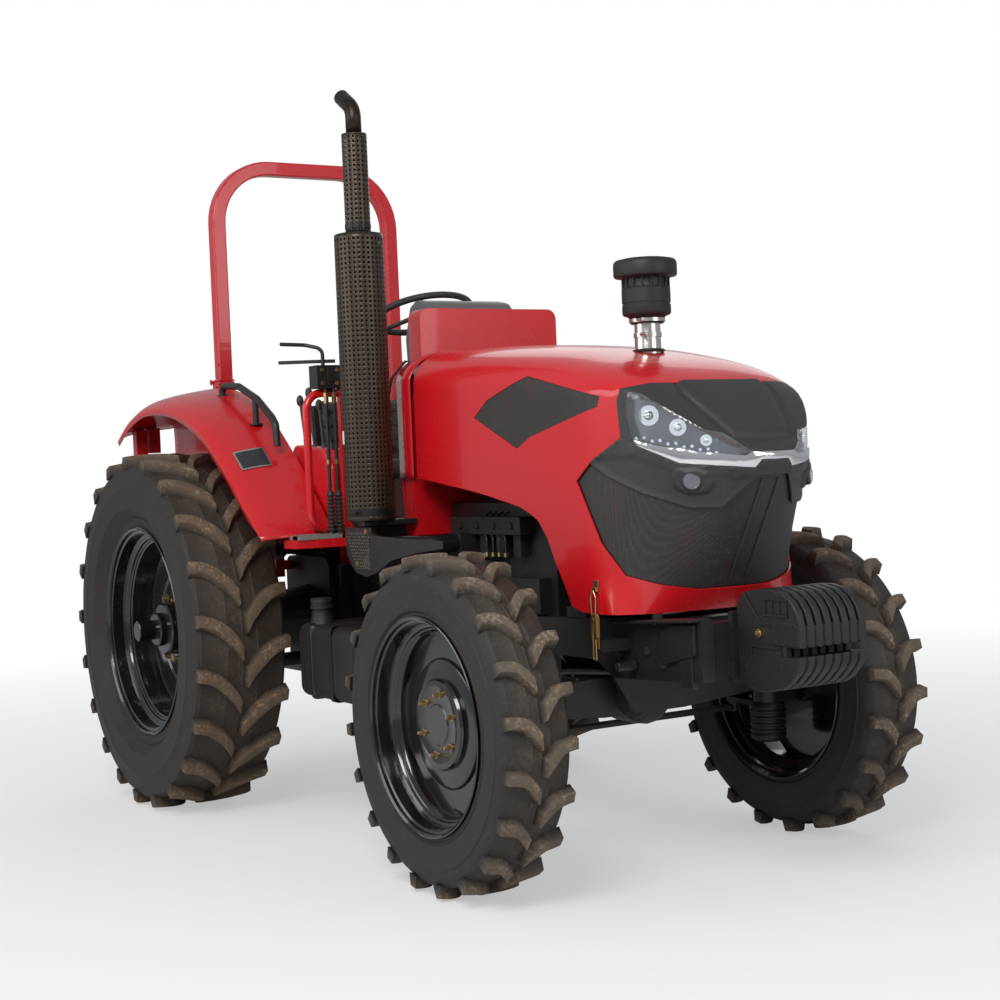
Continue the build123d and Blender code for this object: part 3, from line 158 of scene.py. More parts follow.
paper_links.new(paper_nodes["Principled BSDF"].outputs[0], paper_mix.inputs[1])
paper_links.new(bright.outputs[0], paper_mix.inputs[2])
paper_links.new(paper_mix.outputs[0], paper_nodes["Material Output"].inputs["Surface"])
floor_mesh.materials.append(paper)
floor = bpy.data.objects.new("floor", floor_mesh)
scene.collection.objects.link(floor)

# Finishes
# Enamel over pressed steel, dusty black chassis paint, moulded rubber and plastic. Each finish
# takes its uneven tone, its film of dust and its fine grain from one shared pattern of noise.


def make_weather():
    """Node group that gives colour, roughness and surface normal of a lightly used surface."""
    group = bpy.data.node_groups.new("weathered_surface", "ShaderNodeTree")
    shared = group.interface
    for word, kind, value in (
        ("Color", "NodeSocketColor", (0.5, 0.5, 0.5, 1.0)),
        ("Dust Color", "NodeSocketColor", (0.35, 0.29, 0.22, 1.0)),
        ("Roughness", "NodeSocketFloat", 0.5), ("Dust", "NodeSocketFloat", 0.1),
        ("Shade", "NodeSocketFloat", 0.1), ("Patch Scale", "NodeSocketFloat", 4.0),
        ("Grain", "NodeSocketFloat", 0.1), ("Grain Scale", "NodeSocketFloat", 300.0),
    ):
        socket = shared.new_socket(name=word, in_out="INPUT", socket_type=kind)
        socket.default_value = value
    for word, kind in (("Color", "NodeSocketColor"), ("Roughness", "NodeSocketFloat"),
                       ("Normal", "NodeSocketVector")):
        shared.new_socket(name=word, in_out="OUTPUT", socket_type=kind)
    inner = group.nodes
    links = group.links
    given = inner.new("NodeGroupInput")
    result = inner.new("NodeGroupOutput")
    where = inner.new("ShaderNodeTexCoord")

    patches = inner.new("ShaderNodeTexNoise")
    patches.inputs["Detail"].default_value = 6.0
    patches.inputs["Roughness"].default_value = 0.65
    links.new(where.outputs["Object"], patches.inputs["Vector"])
    links.new(given.outputs["Patch Scale"], patches.inputs["Scale"])
    specks = inner.new("ShaderNodeTexNoise")
    specks.inputs["Scale"].default_value = 90.0
    specks.inputs["Detail"].default_value = 4.0
    links.new(where.outputs["Object"], specks.inputs["Vector"])

    spread = inner.new("ShaderNodeMapRange")
    spread.inputs["From Min"].default_value = 0.42
    spread.inputs["From Max"].default_value = 0.72
    links.new(patches.outputs["Fac"], spread.inputs["Value"])
    sprinkle = inner.new("ShaderNodeMapRange")
    sprinkle.inputs["From Min"].default_value = 0.45
    sprinkle.inputs["From Max"].default_value = 0.75
    links.new(specks.outputs["Fac"], sprinkle.inputs["Value"])
    settled = inner.new("ShaderNodeMath")
    settled.operation = "MULTIPLY_ADD"
    settled.inputs[2].default_value = 0.25
    links.new(spread.outputs[0], settled.inputs[0])
    links.new(sprinkle.outputs[0], settled.inputs[1])
    film = inner.new("ShaderNodeMath")
    film.operation = "MULTIPLY"
    film.use_clamp = True
    links.new(settled.outputs[0], film.inputs[0])
    links.new(given.outputs["Dust"], film.inputs[1])

    tone = inner.new("ShaderNodeMath")
    tone.operation = "MULTIPLY"
    links.new(patches.outputs["Fac"], tone.inputs[0])
    links.new(given.outputs["Shade"], tone.inputs[1])
    darker = inner.new("ShaderNodeMix")
    darker.data_type = "RGBA"
    darker.blend_type = "MULTIPLY"
    darker.inputs["B"].default_value = (0.25, 0.25, 0.25, 1.0)
    links.new(tone.outputs[0], darker.inputs["Factor"])
    links.new(given.outputs["Color"], darker.inputs["A"])
    dusty = inner.new("ShaderNodeMix")
    dusty.data_type = "RGBA"
    links.new(film.outputs[0], dusty.inputs["Factor"])
    links.new(darker.outputs["Result"], dusty.inputs["A"])
    links.new(given.outputs["Dust Color"], dusty.inputs["B"])
    links.new(dusty.outputs["Result"], result.inputs["Color"])

    rougher = inner.new("ShaderNodeMath")
    rougher.operation = "MULTIPLY_ADD"
    rougher.use_clamp = True
    rougher.inputs[1].default_value = 0.55
    links.new(film.outputs[0], rougher.inputs[0])
    links.new(given.outputs["Roughness"], rougher.inputs[2])
    links.new(rougher.outputs[0], result.inputs["Roughness"])

    grains = inner.new("ShaderNodeTexNoise")
    grains.inputs["Detail"].default_value = 3.0
    links.new(where.outputs["Object"], grains.inputs["Vector"])
    links.new(given.outputs["Grain Scale"], grains.inputs["Scale"])
    relief = inner.new("ShaderNodeBump")
    relief.inputs["Distance"].default_value = 0.002
    links.new(given.outputs["Grain"], relief.inputs["Strength"])
    links.new(grains.outputs["Fac"], relief.inputs["Height"])
    links.new(relief.outputs["Normal"], result.inputs["Normal"])
    return group


weather = make_weather()


def finish(name, color, roughness, dust=0.1, shade=0.1, patch=4.0, grain=0.05, grain_scale=300.0,
           dust_color=(0.30, 0.25, 0.19), metallic=0.0, coat=0.0, coat_roughness=0.03, sheen=0.0):
    """A material on the shared weathering pattern."""
    material = bpy.data.materials.new(name)
    material.use_nodes = True
    tree = material.node_tree
    shader = tree.nodes["Principled BSDF"]
    shader.inputs["Metallic"].default_value = metallic
    shader.inputs["Coat Weight"].default_value = coat
    shader.inputs["Coat Roughness"].default_value = coat_roughness
    shader.inputs["Sheen Weight"].default_value = sheen
    worn = tree.nodes.new("ShaderNodeGroup")
    worn.name = "worn"
    worn.node_tree = weather
    worn.inputs["Color"].default_value = (*color, 1.0)
    worn.inputs["Dust Color"].default_value = (*dust_color, 1.0)
    worn.inputs["Roughness"].default_value = roughness
    worn.inputs["Dust"].default_value = dust
    worn.inputs["Shade"].default_value = shade
    worn.inputs["Patch Scale"].default_value = patch
    worn.inputs["Grain"].default_value = grain
    worn.inputs["Grain Scale"].default_value = grain_scale
    tree.links.new(worn.outputs["Color"], shader.inputs["Base Color"])
    tree.links.new(worn.outputs["Roughness"], shader.inputs["Roughness"])
    tree.links.new(worn.outputs["Normal"], shader.inputs["Normal"])
    return material


red_paint = finish("red_paint", (0.60, 0.005, 0.010), 0.27, dust=0.015, shade=0.12, patch=2.0, grain=0.01,
                   coat=0.45, dust_color=(0.50, 0.25, 0.20))
black_paint = finish("black_paint", (0.011, 0.011, 0.012), 0.38, dust=0.22, shade=0.2, patch=6.0,
                     grain=0.05, dust_color=(0.10, 0.085, 0.068))
rim_paint = finish("rim_paint", (0.006, 0.006, 0.007), 0.16, dust=0.08, shade=0.1, patch=7.0, grain=0.01,
                   coat=0.6, dust_color=(0.12, 0.10, 0.08))
casting_paint = finish("casting_paint", (0.009, 0.009, 0.010), 0.46, dust=0.16, shade=0.3, patch=8.0,
                       grain=0.35, grain_scale=160.0, dust_color=(0.09, 0.075, 0.06))
textured_plastic = finish("textured_plastic", (0.022, 0.023, 0.026), 0.42, dust=0.35, shade=0.15,
                          patch=9.0, grain=0.25, grain_scale=900.0, dust_color=(0.11, 0.095, 0.08))
tank_plastic = finish("tank_plastic", (0.009, 0.009, 0.010), 0.5, dust=0.18, shade=0.15, patch=6.0,
                      grain=0.15, grain_scale=500.0, dust_color=(0.10, 0.085, 0.07))
rubber = finish("rubber", (0.014, 0.014, 0.015), 0.55, dust=0.3, shade=0.1, grain=0.1, grain_scale=400.0,
                dust_color=(0.12, 0.105, 0.085))
grey_rubber = finish("grey_rubber", (0.20, 0.19, 0.18), 0.7, dust=0.4, shade=0.2, grain=0.2,
                     grain_scale=500.0)
grey_plastic = finish("grey_plastic", (0.11, 0.115, 0.12), 0.4, dust=0.1, shade=0.1, grain=0.1,
                      grain_scale=700.0)
vinyl = finish("vinyl", (0.012, 0.012, 0.013), 0.45, dust=0.15, shade=0.1, grain=0.35, grain_scale=600.0,
               dust_color=(0.12, 0.11, 0.10))
bright_trim = finish("bright_trim", (0.82, 0.83, 0.85), 0.10, dust=0.10, shade=0.05, grain=0.01,
                     metallic=1.0, dust_color=(0.45, 0.43, 0.40))
stainless = finish("stainless", (0.70, 0.67, 0.63), 0.22, dust=0.15, shade=0.2, patch=10.0, grain=0.02,
                   metallic=1.0, dust_color=(0.35, 0.30, 0.25))
zinc = finish("zinc", (0.60, 0.43, 0.20), 0.34, dust=0.15, shade=0.2, patch=20.0, grain=0.05, metallic=1.0)
guard_steel = finish("guard_steel", (0.060, 0.046, 0.034), 0.30, dust=0.18, shade=0.2, patch=8.0,
                     grain=0.05, metallic=0.6, dust_color=(0.13, 0.105, 0.08))
sooted_steel = finish("sooted_steel", (0.012, 0.011, 0.011), 0.35, dust=0.15, shade=0.2, patch=14.0,
                      grain=0.05, metallic=0.3, dust_color=(0.07, 0.055, 0.045))
mesh_steel = finish("mesh_steel", (0.020, 0.020, 0.020), 0.5, dust=0.45, shade=0.2, patch=7.0, grain=0.1,
                    dust_color=(0.13, 0.11, 0.09))
greased_steel = finish("greased_steel", (0.05, 0.045, 0.04), 0.4, dust=0.4, shade=0.3, patch=12.0,
                       grain=0.1, metallic=0.4, dust_color=(0.11, 0.09, 0.07))


def clear_material(name, tint, roughness, transmission):
    """A clear moulding that keeps a little of its own tint."""
    material = matte(name, tint, roughness)
    shader = material.node_tree.nodes["Principled BSDF"]
    shader.inputs["Transmission Weight"].default_value = transmission
    shader.inputs["IOR"].default_value = 1.45
    return material


lens_clear = clear_material("lens_clear", (0.93, 0.96, 1.0), 0.03, 0.96)
panel_clear = clear_material("panel_clear", (0.90, 0.96, 0.94), 0.02, 0.97)

node_finishes = (
    (red_paint, ("cowl", "fenders", "platform", "rops_hoop", "rops_posts", "hood_shell", "side_posts",
                 "lever_console", "side_brackets")),
    (rim_paint, ("front_wheel_left", "front_wheel_right", "rear_wheel_left", "rear_wheel_right")),
    (rubber, ("front_tyre_left", "front_tyre_right", "rear_tyre_left", "rear_tyre_right")),
    (black_paint, ("front_axle", "front_frame", "front_weights", "control_linkage", "exhaust_elbow",
                   "fender_handles", "radiator", "knuckle_left", "knuckle_right", "lift_arms",
                   "lower_links", "steering_column", "drawbar", "top_link_bracket", "seat_base",
                   "lift_rods")),
    (casting_paint, ("engine_block", "transmission_case", "rear_axle_case", "lift_housing")),
    (greased_steel, ("tie_rod",)),
    (textured_plastic, ("nose_cap", "nose_fascia", "dashboard", "steering_wheel", "battery_box")),
    (tank_plastic, ("fuel_tank", "air_precleaner")),
    (vinyl, ("seat_cushion",)),
    (mesh_steel, ("grille", "side_vents")),
    (guard_steel, ("silencer_guard",)),
    (sooted_steel, ("exhaust_tip",)),
    (bright_trim, ("chrome_trim", "headlamps", "rear_lamps")),
    (zinc, ("hood_latches",)),
    (panel_clear, ("side_screens",)),
)
for material, names in node_finishes:
    for name in names:
        nodes[name].data.materials.clear()
        nodes[name].data.materials.append(material)

# Tyres
# Radial lug tyres, moulded black rubber with dried field dust on the lug tops. The front lugs run
# straight in from the shoulder and kink towards the middle, the rear ones sweep in a wide curve.


def new_piece(name, bm, material, body, angle=35.0, bevel=0.0, segments=2):
    """Turns a bmesh into a piece that rides on a body, smooth up to an edge angle in degrees."""
    bmesh.ops.recalc_face_normals(bm, faces=bm.faces)
    mesh = bpy.data.meshes.new(name)
    bm.to_mesh(mesh)
    bm.free()
    for face in mesh.polygons:
        face.use_smooth = True
    mesh.set_sharp_from_angle(angle=radians(angle))
    for one in (material if isinstance(material, (list, tuple)) else (material,)):
        mesh.materials.append(one)
    piece = bpy.data.objects.new(name, mesh)
    scene.collection.objects.link(piece)
    if bevel:
        rounding = piece.modifiers.new("rounded_edges", "BEVEL")
        rounding.width = bevel
        rounding.segments = segments
        rounding.limit_method = "ANGLE"
        rounding.angle_limit = radians(angle)
        rounding.harden_normals = True
    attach(piece, body)
    return piece


def sheet_wall(piece, thickness, offset=-1.0):
    """Gives a surface the real thickness of its sheet, in metres."""
    wall = piece.modifiers.new("sheet", "SOLIDIFY")
    wall.thickness = thickness
    wall.offset = offset


def spin_profile(bm, profile, steps, center, closed=False):
    """A surface turned about the axle through center, from (radius, sideways) points in millimetres."""
    ring = [bm.verts.new(center + Vector((radius, width, 0.0)) / 1000) for radius, width in profile]
    edges = [bm.edges.new(pair) for pair in zip(ring, ring[1:])]
    if closed:
        edges.append(bm.edges.new((ring[-1], ring[0])))
    bmesh.ops.spin(bm, geom=ring + edges, cent=center, axis=(0, 1, 0), dvec=(0, 0, 0), angle=2 * pi,
                   steps=steps, use_merge=True, use_duplicate=False)


def tyre_material(name, rubber_color, dust_color, tread_radius, lug_height, center):
    """Rubber that is dusty on the lug tops and dark on the flanks, by its distance from the axle."""
    material = finish(name, rubber_color, 0.62, dust=0.35, shade=0.25, patch=14.0, grain=0.25,
                      grain_scale=260.0, dust_color=dust_color)
    tree = material.node_tree
    where = tree.nodes.new("ShaderNodeTexCoord")
    moved = tree.nodes.new("ShaderNodeVectorMath")
    moved.operation = "SUBTRACT"
    moved.inputs[1].default_value = center
    flat = tree.nodes.new("ShaderNodeVectorMath")
    flat.operation = "MULTIPLY"
    flat.inputs[1].default_value = (1.0, 0.0, 1.0)
    reach = tree.nodes.new("ShaderNodeVectorMath")
    reach.operation = "LENGTH"
    worn_tops = tree.nodes.new("ShaderNodeMapRange")
    worn_tops.inputs["From Min"].default_value = tread_radius - 0.25 * lug_height
    worn_tops.inputs["From Max"].default_value = tread_radius + lug_height
    worn_tops.inputs["To Min"].default_value = 0.12
    worn_tops.inputs["To Max"].default_value = 1.7
    tree.links.new(where.outputs["Object"], moved.inputs[0])
    tree.links.new(moved.outputs[0], flat.inputs[0])
    tree.links.new(flat.outputs[0], reach.inputs[0])
    tree.links.new(reach.outputs["Value"], worn_tops.inputs["Value"])
    tree.links.new(worn_tops.outputs[0], tree.nodes["worn"].inputs["Dust"])
    return material


def lug(bm, path, top, foot, height, radius, sink, turned, center, hand, crown):
    """One lug bent round the tyre: its plan follows a path of (along, across) points in millimetres."""
    mesh = bmesh.new()
    rows = []
    for index, (along, across) in enumerate(path):
        before = Vector(path[max(index - 1, 0)])
        after = Vector(path[min(index + 1, len(path) - 1)])
        run = (after - before).normalized()
        slant = max(0.72, abs(run.y))
        rows.append([
            mesh.verts.new((along + offset / slant, across, 0.0)) for offset in (-foot / 2, foot / 2)
        ])
    faces = []
    for (a, b), (c, d) in zip(rows, rows[1:]):
        faces.append(mesh.faces.new((a, b, d, c)))
    raised = bmesh.ops.extrude_face_region(mesh, geom=faces)
    lifted = [item for item in raised["geom"] if isinstance(item, bmesh.types.BMVert)]
    bmesh.ops.translate(mesh, verts=lifted, vec=(0, 0, height + sink))
    middles = {}
    for vert in lifted:
        middles.setdefault(round(vert.co.y, 4), []).append(vert)
    last = max(middles)
    first = min(middles)
    for across, pair in middles.items():
        middle = sum(vert.co.x for vert in pair) / len(pair)
        for vert in pair:
            vert.co.x = middle + (vert.co.x - middle) * top / foot
            if across == first:
                vert.co.y += 4.0
            if across == last:
                vert.co.y -= 3.0
    bmesh.ops.recalc_face_normals(mesh, faces=mesh.faces)
    high = [edge for edge in mesh.edges if all(vert.co.z > height for vert in edge.verts) and
            len(edge.link_faces) == 2 and edge.calc_face_angle(0.0) > radians(30)]
    bmesh.ops.bevel(mesh, geom=high, offset=2.2, segments=2, profile=0.5, affect="EDGES", material=-1)
    for vert in mesh.verts:
        along, across, rise = vert.co
        share = across / crown[0]
        reach = radius - sink + rise - crown[1] * share ** 4
        angle = turned + along / radius
        vert.co = center + Vector((reach * cos(angle), hand * across, reach * sin(angle))) / 1000
    joined = bpy.data.meshes.new("lug")
    mesh.to_mesh(joined)
    mesh.free()
    bm.from_mesh(joined)
    bpy.data.meshes.remove(joined)


tyre_kinds = (
    dict(
        word="front", x=front_axle_ahead, y=front_wheel_out, radius=front_wheel_radius, half=120.5,
        rim=326.0, seat=101.0, lug_height=32.0, count=20, top=30.0, foot=46.0, grooves=(-30.0, 0.0, 30.0),
        path=((0.0, 5.0), (22.0, 26.0), (44.0, 48.0), (54.0, 64.0), (58.0, 84.0), (60.0, 104.0),
              (60.0, 117.0)),
        rubber=(0.013, 0.012, 0.011), dust=(0.255, 0.195, 0.142),
    ),
    dict(
        word="rear", x=0.0, y=rear_wheel_out, radius=rear_wheel_radius, half=189.0,
        rim=402.0, seat=138.0, lug_height=38.0, count=21, top=38.0, foot=60.0, grooves=(-60.0, 0.0, 60.0),
        path=((0.0, 7.0), (34.0, 32.0), (66.0, 62.0), (94.0, 96.0), (112.0, 128.0), (122.0, 160.0),
              (124.0, 184.0)),
        rubber=(0.013, 0.011, 0.010), dust=(0.265, 0.185, 0.122),
    ),
)
for kind in tyre_kinds:
    outer = kind["radius"]
    tread = outer - kind["lug_height"]
    half = kind["half"]
    rim = kind["rim"]
    seat = kind["seat"]
    depth = tread - rim
    side_points = [
        (rim + 1.0, seat - 18), (rim + 1.5, seat), (rim + 14, seat + 6), (rim + 22, seat + 4),
        (rim + 0.16 * depth, seat + 9), (rim + 0.17 * depth, seat + 12), (rim + 0.19 * depth, seat + 12),
        (rim + 0.20 * depth, seat + 9.5), (rim + 0.34 * depth, half - 5), (rim + 0.50 * depth, half - 2.2),
        (rim + 0.62 * depth, half - 1.8), (rim + 0.635 * depth, half - 0.2),
        (rim + 0.655 * depth, half - 0.4), (rim + 0.67 * depth, half - 3), (rim + 0.80 * depth, half - 6),
        (tread - 14, half - 14), (tread - 5, half - 26),
    ]
    tread_points = []
    for groove in kind["grooves"]:
        tread_points += [
            (tread, groove - 4), (tread + 1.6, groove - 1.6), (tread + 1.6, groove + 1.6),
            (tread, groove + 4),
        ]
    inner_points = [(radius, -width) for radius, width in side_points]
    section = inner_points + tread_points + side_points[::-1]
    for hand, word in ((-1, "right"), (1, "left")):
        center = spot(kind["x"], hand * kind["y"], outer)
        bm = bmesh.new()
        spin_profile(bm, section, 96, center)
        for number in range(kind["count"]):
            for lug_hand in (-1, 1):
                stagger = 0.5 if lug_hand > 0 else 0.0
                lug(bm, kind["path"], kind["top"], kind["foot"], kind["lug_height"], tread, 8.0,
                    2 * pi * (number + stagger) / kind["count"] - pi / 2, center, lug_hand, (half, 9.0))
        body = kind["word"] + "_wheel_" + word
        tyre_look = tyre_material(kind["word"] + "_tyre_rubber_" + word, kind["rubber"], kind["dust"],
                                  tread / 1000, kind["lug_height"] / 1000, center)
        tyre = new_piece(kind["word"] + "_lugged_tyre_" + word, bm, tyre_look, body,
                         angle=32.0)
        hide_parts(kind["word"] + "_tyre_" + word)

# Wheel rims
# Welded steel disc wheels in gloss black enamel: a stepped drop-centre rim, a pressed disc and a
# bolted hub. The front disc is a rounded square, which leaves four lens-shaped gaps at the rim.


def add_rod(bm, start, end, radius, sides=24, tip=None):
    """A straight round rod between two points in metres; radii are in millimetres."""
    run = end - start
    made = bmesh.ops.create_cone(bm, cap_ends=True, segments=sides, radius1=radius / 1000,
                                 radius2=(radius if tip is None else tip) / 1000, depth=run.length)
    way = run.to_track_quat("Z", "Y").to_matrix().to_4x4()
    bmesh.ops.transform(bm, matrix=Matrix.Translation((start + end) / 2) @ way, verts=made["verts"])
    return made["verts"]


def add_block(bm, low, high):
    """A square block between two corners in metres."""
    made = bmesh.ops.create_cube(bm, size=1.0)
    middle = (low + high) / 2
    span = Vector((abs(high.x - low.x), abs(high.y - low.y), abs(high.z - low.z)))
    bmesh.ops.transform(bm, matrix=Matrix.Translation(middle) @ Matrix.Diagonal((*span, 1.0)),
                        verts=made["verts"])
    return made["verts"]


wheel_kinds = (
    dict(
        word="front", x=front_axle_ahead, y=front_wheel_out, height=front_wheel_radius,
        rim=(
            (338, 115), (334, 117), (327, 112), (325, 104), (324, 66), (308, 58), (303, 50), (292, 44),
            (288, 0), (288, -44), (303, -58), (324, -66), (325, -104), (334, -117), (338, -115),
            (331, -100), (318, -96), (316, -60), (296, -50), (281, -38), (281, 30), (285, 38), (296, 46),
            (300, 54), (316, 62), (318, 98), (330, 104),
        ),
        hub=(
            (0, 58), (60, 58), (66, 54), (112, 54), (120, 58), (136, 56), (142, 48), (142, 38),
            (190, 36), (198, 33), (204, 24), (208, 18), (208, 14), (90, 14), (88, -20), (0, -20),
        ),
        face=30.0, ring=95.0, nuts=6, nut_radius=6.5, disc_low=12.0, disc_high=24.0,
    ),
    dict(
        word="rear", x=0.0, y=rear_wheel_out, height=rear_wheel_radius,
        rim=(
            (417, 152), (412, 155), (404, 149), (401, 140), (399, 96), (380, 86), (374, 76), (362, 70),
            (356, 20), (356, -60), (376, -76), (399, -96), (401, -140), (412, -155), (417, -152),
            (408, -136), (392, -130), (390, -90), (366, -76), (348, -56), (348, 12), (354, 62),
            (366, 68), (370, 80), (390, 90), (392, 134), (408, 140),
        ),
        hub=(
            (0, 95), (62, 95), (66, 90), (68, 66), (98, 64), (104, 56), (106, 0), (148, -8), (152, -16),
            (152, -26), (230, -28), (238, -22), (262, -22), (270, -28), (330, -30), (350, -22),
            (350, -34), (150, -46), (0, -46),
        ),
        face=-8.0, ring=128.0, nuts=8, nut_radius=9.0, disc_low=-46.0, disc_high=-34.0,
    ),
)
for kind in wheel_kinds:
    front = kind["word"] == "front"
    for hand, word in ((-1, "right"), (1, "left")):
        center = spot(kind["x"], hand * kind["y"], kind["height"])
        bm = bmesh.new()
        spin_profile(bm, [(radius, hand * width) for radius, width in kind["rim"]], 72, center, closed=True)
        spin_profile(bm, [(radius, hand * width) for radius, width in kind["hub"]], 48, center,
                     closed=not front)
        bmesh.ops.remove_doubles(bm, verts=bm.verts, dist=0.00001)
        if front:
            disc = bmesh.new()
            middle = center + Vector((0, hand * (kind["disc_low"] + kind["disc_high"]) / 2000, 0))
            half_thickness = Vector((0, 0.006, 0))
            add_rod(disc, middle - half_thickness, middle + half_thickness, 287.0, 64)
            for quarter in range(4):
                way = radians(45 + 90 * quarter)
                out = Vector((cos(way), 0, sin(way)))
                cut = bmesh.ops.bisect_plane(disc, geom=disc.verts[:] + disc.edges[:] + disc.faces[:],
                                             plane_co=center + out * 0.245, plane_no=out, clear_outer=True)
                rim_edges = [item for item in cut["geom_cut"] if isinstance(item, bmesh.types.BMEdge)]
                bmesh.ops.holes_fill(disc, edges=rim_edges)
            disc_mesh = bpy.data.meshes.new("disc")
            disc.to_mesh(disc_mesh)
            disc.free()
            bm.from_mesh(disc_mesh)
            bpy.data.meshes.remove(disc_mesh)
        body = kind["word"] + "_wheel_" + word
        if not front:
            axle_in = center - Vector((0, hand * 0.1497, 0))
            add_rod(bm, axle_in, center + Vector((0, hand * 0.168, 0)), 40.0, 40)
            add_rod(bm, center + Vector((0, hand * 0.168, 0)), center + Vector((0, hand * 0.171, 0)),
                    40.0, 40, tip=36.0)
        wheel = new_piece(kind["word"] + "_steel_wheel_" + word, bm, rim_paint, body,
                          angle=28.0)
        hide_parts(kind["word"] + "_wheel_" + word)

        bm = bmesh.new()
        face = kind["face"]
        for number in range(kind["nuts"]):
            way = 2 * pi * number / kind["nuts"] + 0.35
            out = Vector((cos(way), 0, sin(way))) * kind["ring"] / 1000
            foot = center + out + Vector((0, hand * (face + 24) / 1000, 0))
            step = Vector((0, hand * 0.001, 0))
            add_rod(bm, foot, foot + step * 4, kind["nut_radius"] + 5, 24)
            add_rod(bm, foot + step * 4, foot + step * 18, kind["nut_radius"] + 3, 6,
                    tip=kind["nut_radius"])
            add_rod(bm, foot + step * 18, foot + step * 24, kind["nut_radius"] * 0.7, 16)
        new_piece(kind["word"] + "_wheel_nuts_" + word, bm, zinc, body, angle=30.0)
        bm = bmesh.new()
        stem = center + Vector((0.10, hand * kind["disc_high"] / 1000, -kind["rim"][0][0] / 1000 + 0.06))
        add_rod(bm, stem, stem + Vector((-0.004, hand * 0.030, 0.026)), 5.0, 12)
        add_rod(bm, stem + Vector((-0.004, hand * 0.030, 0.026)),
                stem + Vector((-0.006, hand * 0.042, 0.036)), 3.5, 12)
        new_piece(kind["word"] + "_valve_" + word, bm, rubber, body)

# Hood
# One pressed steel hood in red enamel that tilts at its rear edge. Its skin is drawn here as one
# smooth surface, cut along the seams of the nose parts, the wheel arch and the side vents.

hood_half = 360.0
hood_rear = 1290.0
nose_start = 2270.0
nose_rows = ((840.0, 2552.0, 2430.0), (960.0, 2620.0, 2350.0), (1250.0, 2786.0, 2270.0),
             (1310.0, 2800.0, 2270.0), (1900.0, 2800.0, 2270.0))
arch_rows = ((1270.0, 1740.0, 1490.0), (1700.0, 1714.0, 1460.0), (2050.0, 1678.0, 1430.0),
             (2300.0, 1633.0, 1395.0), (2430.0, 1598.0, 1370.0), (2530.0, 1552.0, 1335.0),
             (2620.0, 1483.0, 1295.0), (2830.0, 1290.0, 1170.0))


def smooth_between(rows, at, column):
    """A value at a place between rows, on a smooth curve through them."""
    places = [row[0] for row in rows]
    if at <= places[0]:
        return rows[0][column]
    if at >= places[-1]:
        return rows[-1][column]
    index = max(number for number, place in enumerate(places) if place <= at)
    index = min(index, len(rows) - 2)
    near = rows[index]
    far = rows[index + 1]
    before = rows[max(index - 1, 0)]
    after = rows[min(index + 2, len(rows) - 1)]
    width = far[0] - near[0]
    t = (at - near[0]) / width
    slope_near = (far[column] - before[column]) / (far[0] - before[0]) * width
    slope_far = (after[column] - near[column]) / (after[0] - near[0]) * width
    return ((2 * t ** 3 - 3 * t ** 2 + 1) * near[column] + (t ** 3 - 2 * t ** 2 + t) * slope_near
            + (-2 * t ** 3 + 3 * t ** 2) * far[column] + (t ** 3 - t ** 2) * slope_far)


arch_steps = 600
arch_shares = []
for number in range(arch_steps + 1):
    t = 1 - number / arch_steps
    arch_shares.append((1 - t) ** 3 + 3 * t * (1 - t) ** 2 + 0.86 * 3 * t * t * (1 - t))


def arch_height(x, y, inset):
    """Height of the hood's rounded top over a point of its plan."""
    top = smooth_between(arch_rows, x, 1)
    flank = smooth_between(arch_rows, x, 2)
    share = min(abs(y) / (hood_half + 14.0), 1.0)
    index = min(bisect_left(arch_shares, share), arch_steps)
    near = arch_shares[max(index - 1, 0)]
    part = (share - near) / (arch_shares[index] - near) if index else 0.0
    t = 1 - (max(index - 1, 0) + part) / arch_steps
    rise = 0.86 * (top - flank)
    return ((1 - t) ** 3 * flank + 3 * t * (1 - t) ** 2 * (flank + rise - inset)
            + (3 * t * t * (1 - t) + t ** 3) * (top - inset))


def inside_hood(x, y, z, inset):
    """True for a point inside the hood's closed form, drawn in by inset."""
    if z > arch_height(x, y, inset):
        return False
    half = hood_half - inset
    if abs(y) >= half:
        return False
    bend = smooth_between(nose_rows, z, 2)
    tip = smooth_between(nose_rows, z, 1) - inset
    if x <= bend:
        return True
    return ((x - bend) / (tip - bend)) ** 2 + (y / half) ** 2 < 1.0


def hood_skin(rows, columns, first=0.0):
    """Fine mesh of the right half of the hood, found along rays from its spine, from a share of its run."""
    bm = bmesh.new()
    made = bmesh.ops.create_grid(bm, x_segments=rows, y_segments=columns, size=0.5)
    spine_height = 1200.0
    straight = 0.62
    for vert in made["verts"]:
        along = first + (1 - first) * (vert.co.x + 0.5)
        round_share = vert.co.y + 0.5
        tilt = radians(-90 + 180 * round_share)
        if along < straight:
            start = Vector((hood_rear + (nose_start - hood_rear) * along / straight, 0.0, spine_height))
            heading = Vector((0.0, -cos(tilt), sin(tilt)))
        else:
            swing = pi / 2 * (along - straight) / (1 - straight)
            start = Vector((nose_start, 0.0, spine_height))
            heading = Vector((sin(swing) * cos(tilt), -cos(swing) * cos(tilt), sin(tilt)))
        low = 0.0
        high = 900.0
        for step in range(22):
            reach = (low + high) / 2
            point = start + heading * reach
            if inside_hood(point.x, point.y, point.z, 0.0):
                low = reach
            else:
                high = reach
        point = start + heading * low
        vert.co = spot(point.x, point.y if abs(point.y) > 0.02 else 0.0, point.z)
    bmesh.ops.remove_doubles(bm, verts=bm.verts, dist=0.0002)
    return bm


class View:
    """A flat view onto the hood, in which its seams are drawn as outlines in millimetres."""

    def __init__(self, origin, along, facing):
        self.origin = origin
        self.along = along
        self.facing = facing

    def flat(self, point):
        away = point - self.origin
        return Vector((away.dot(self.along) * 1000, away.z * 1000))

    def solid(self, place):
        return self.origin + self.along * place[0] / 1000 + Vector((0, 0, place[1] / 1000))


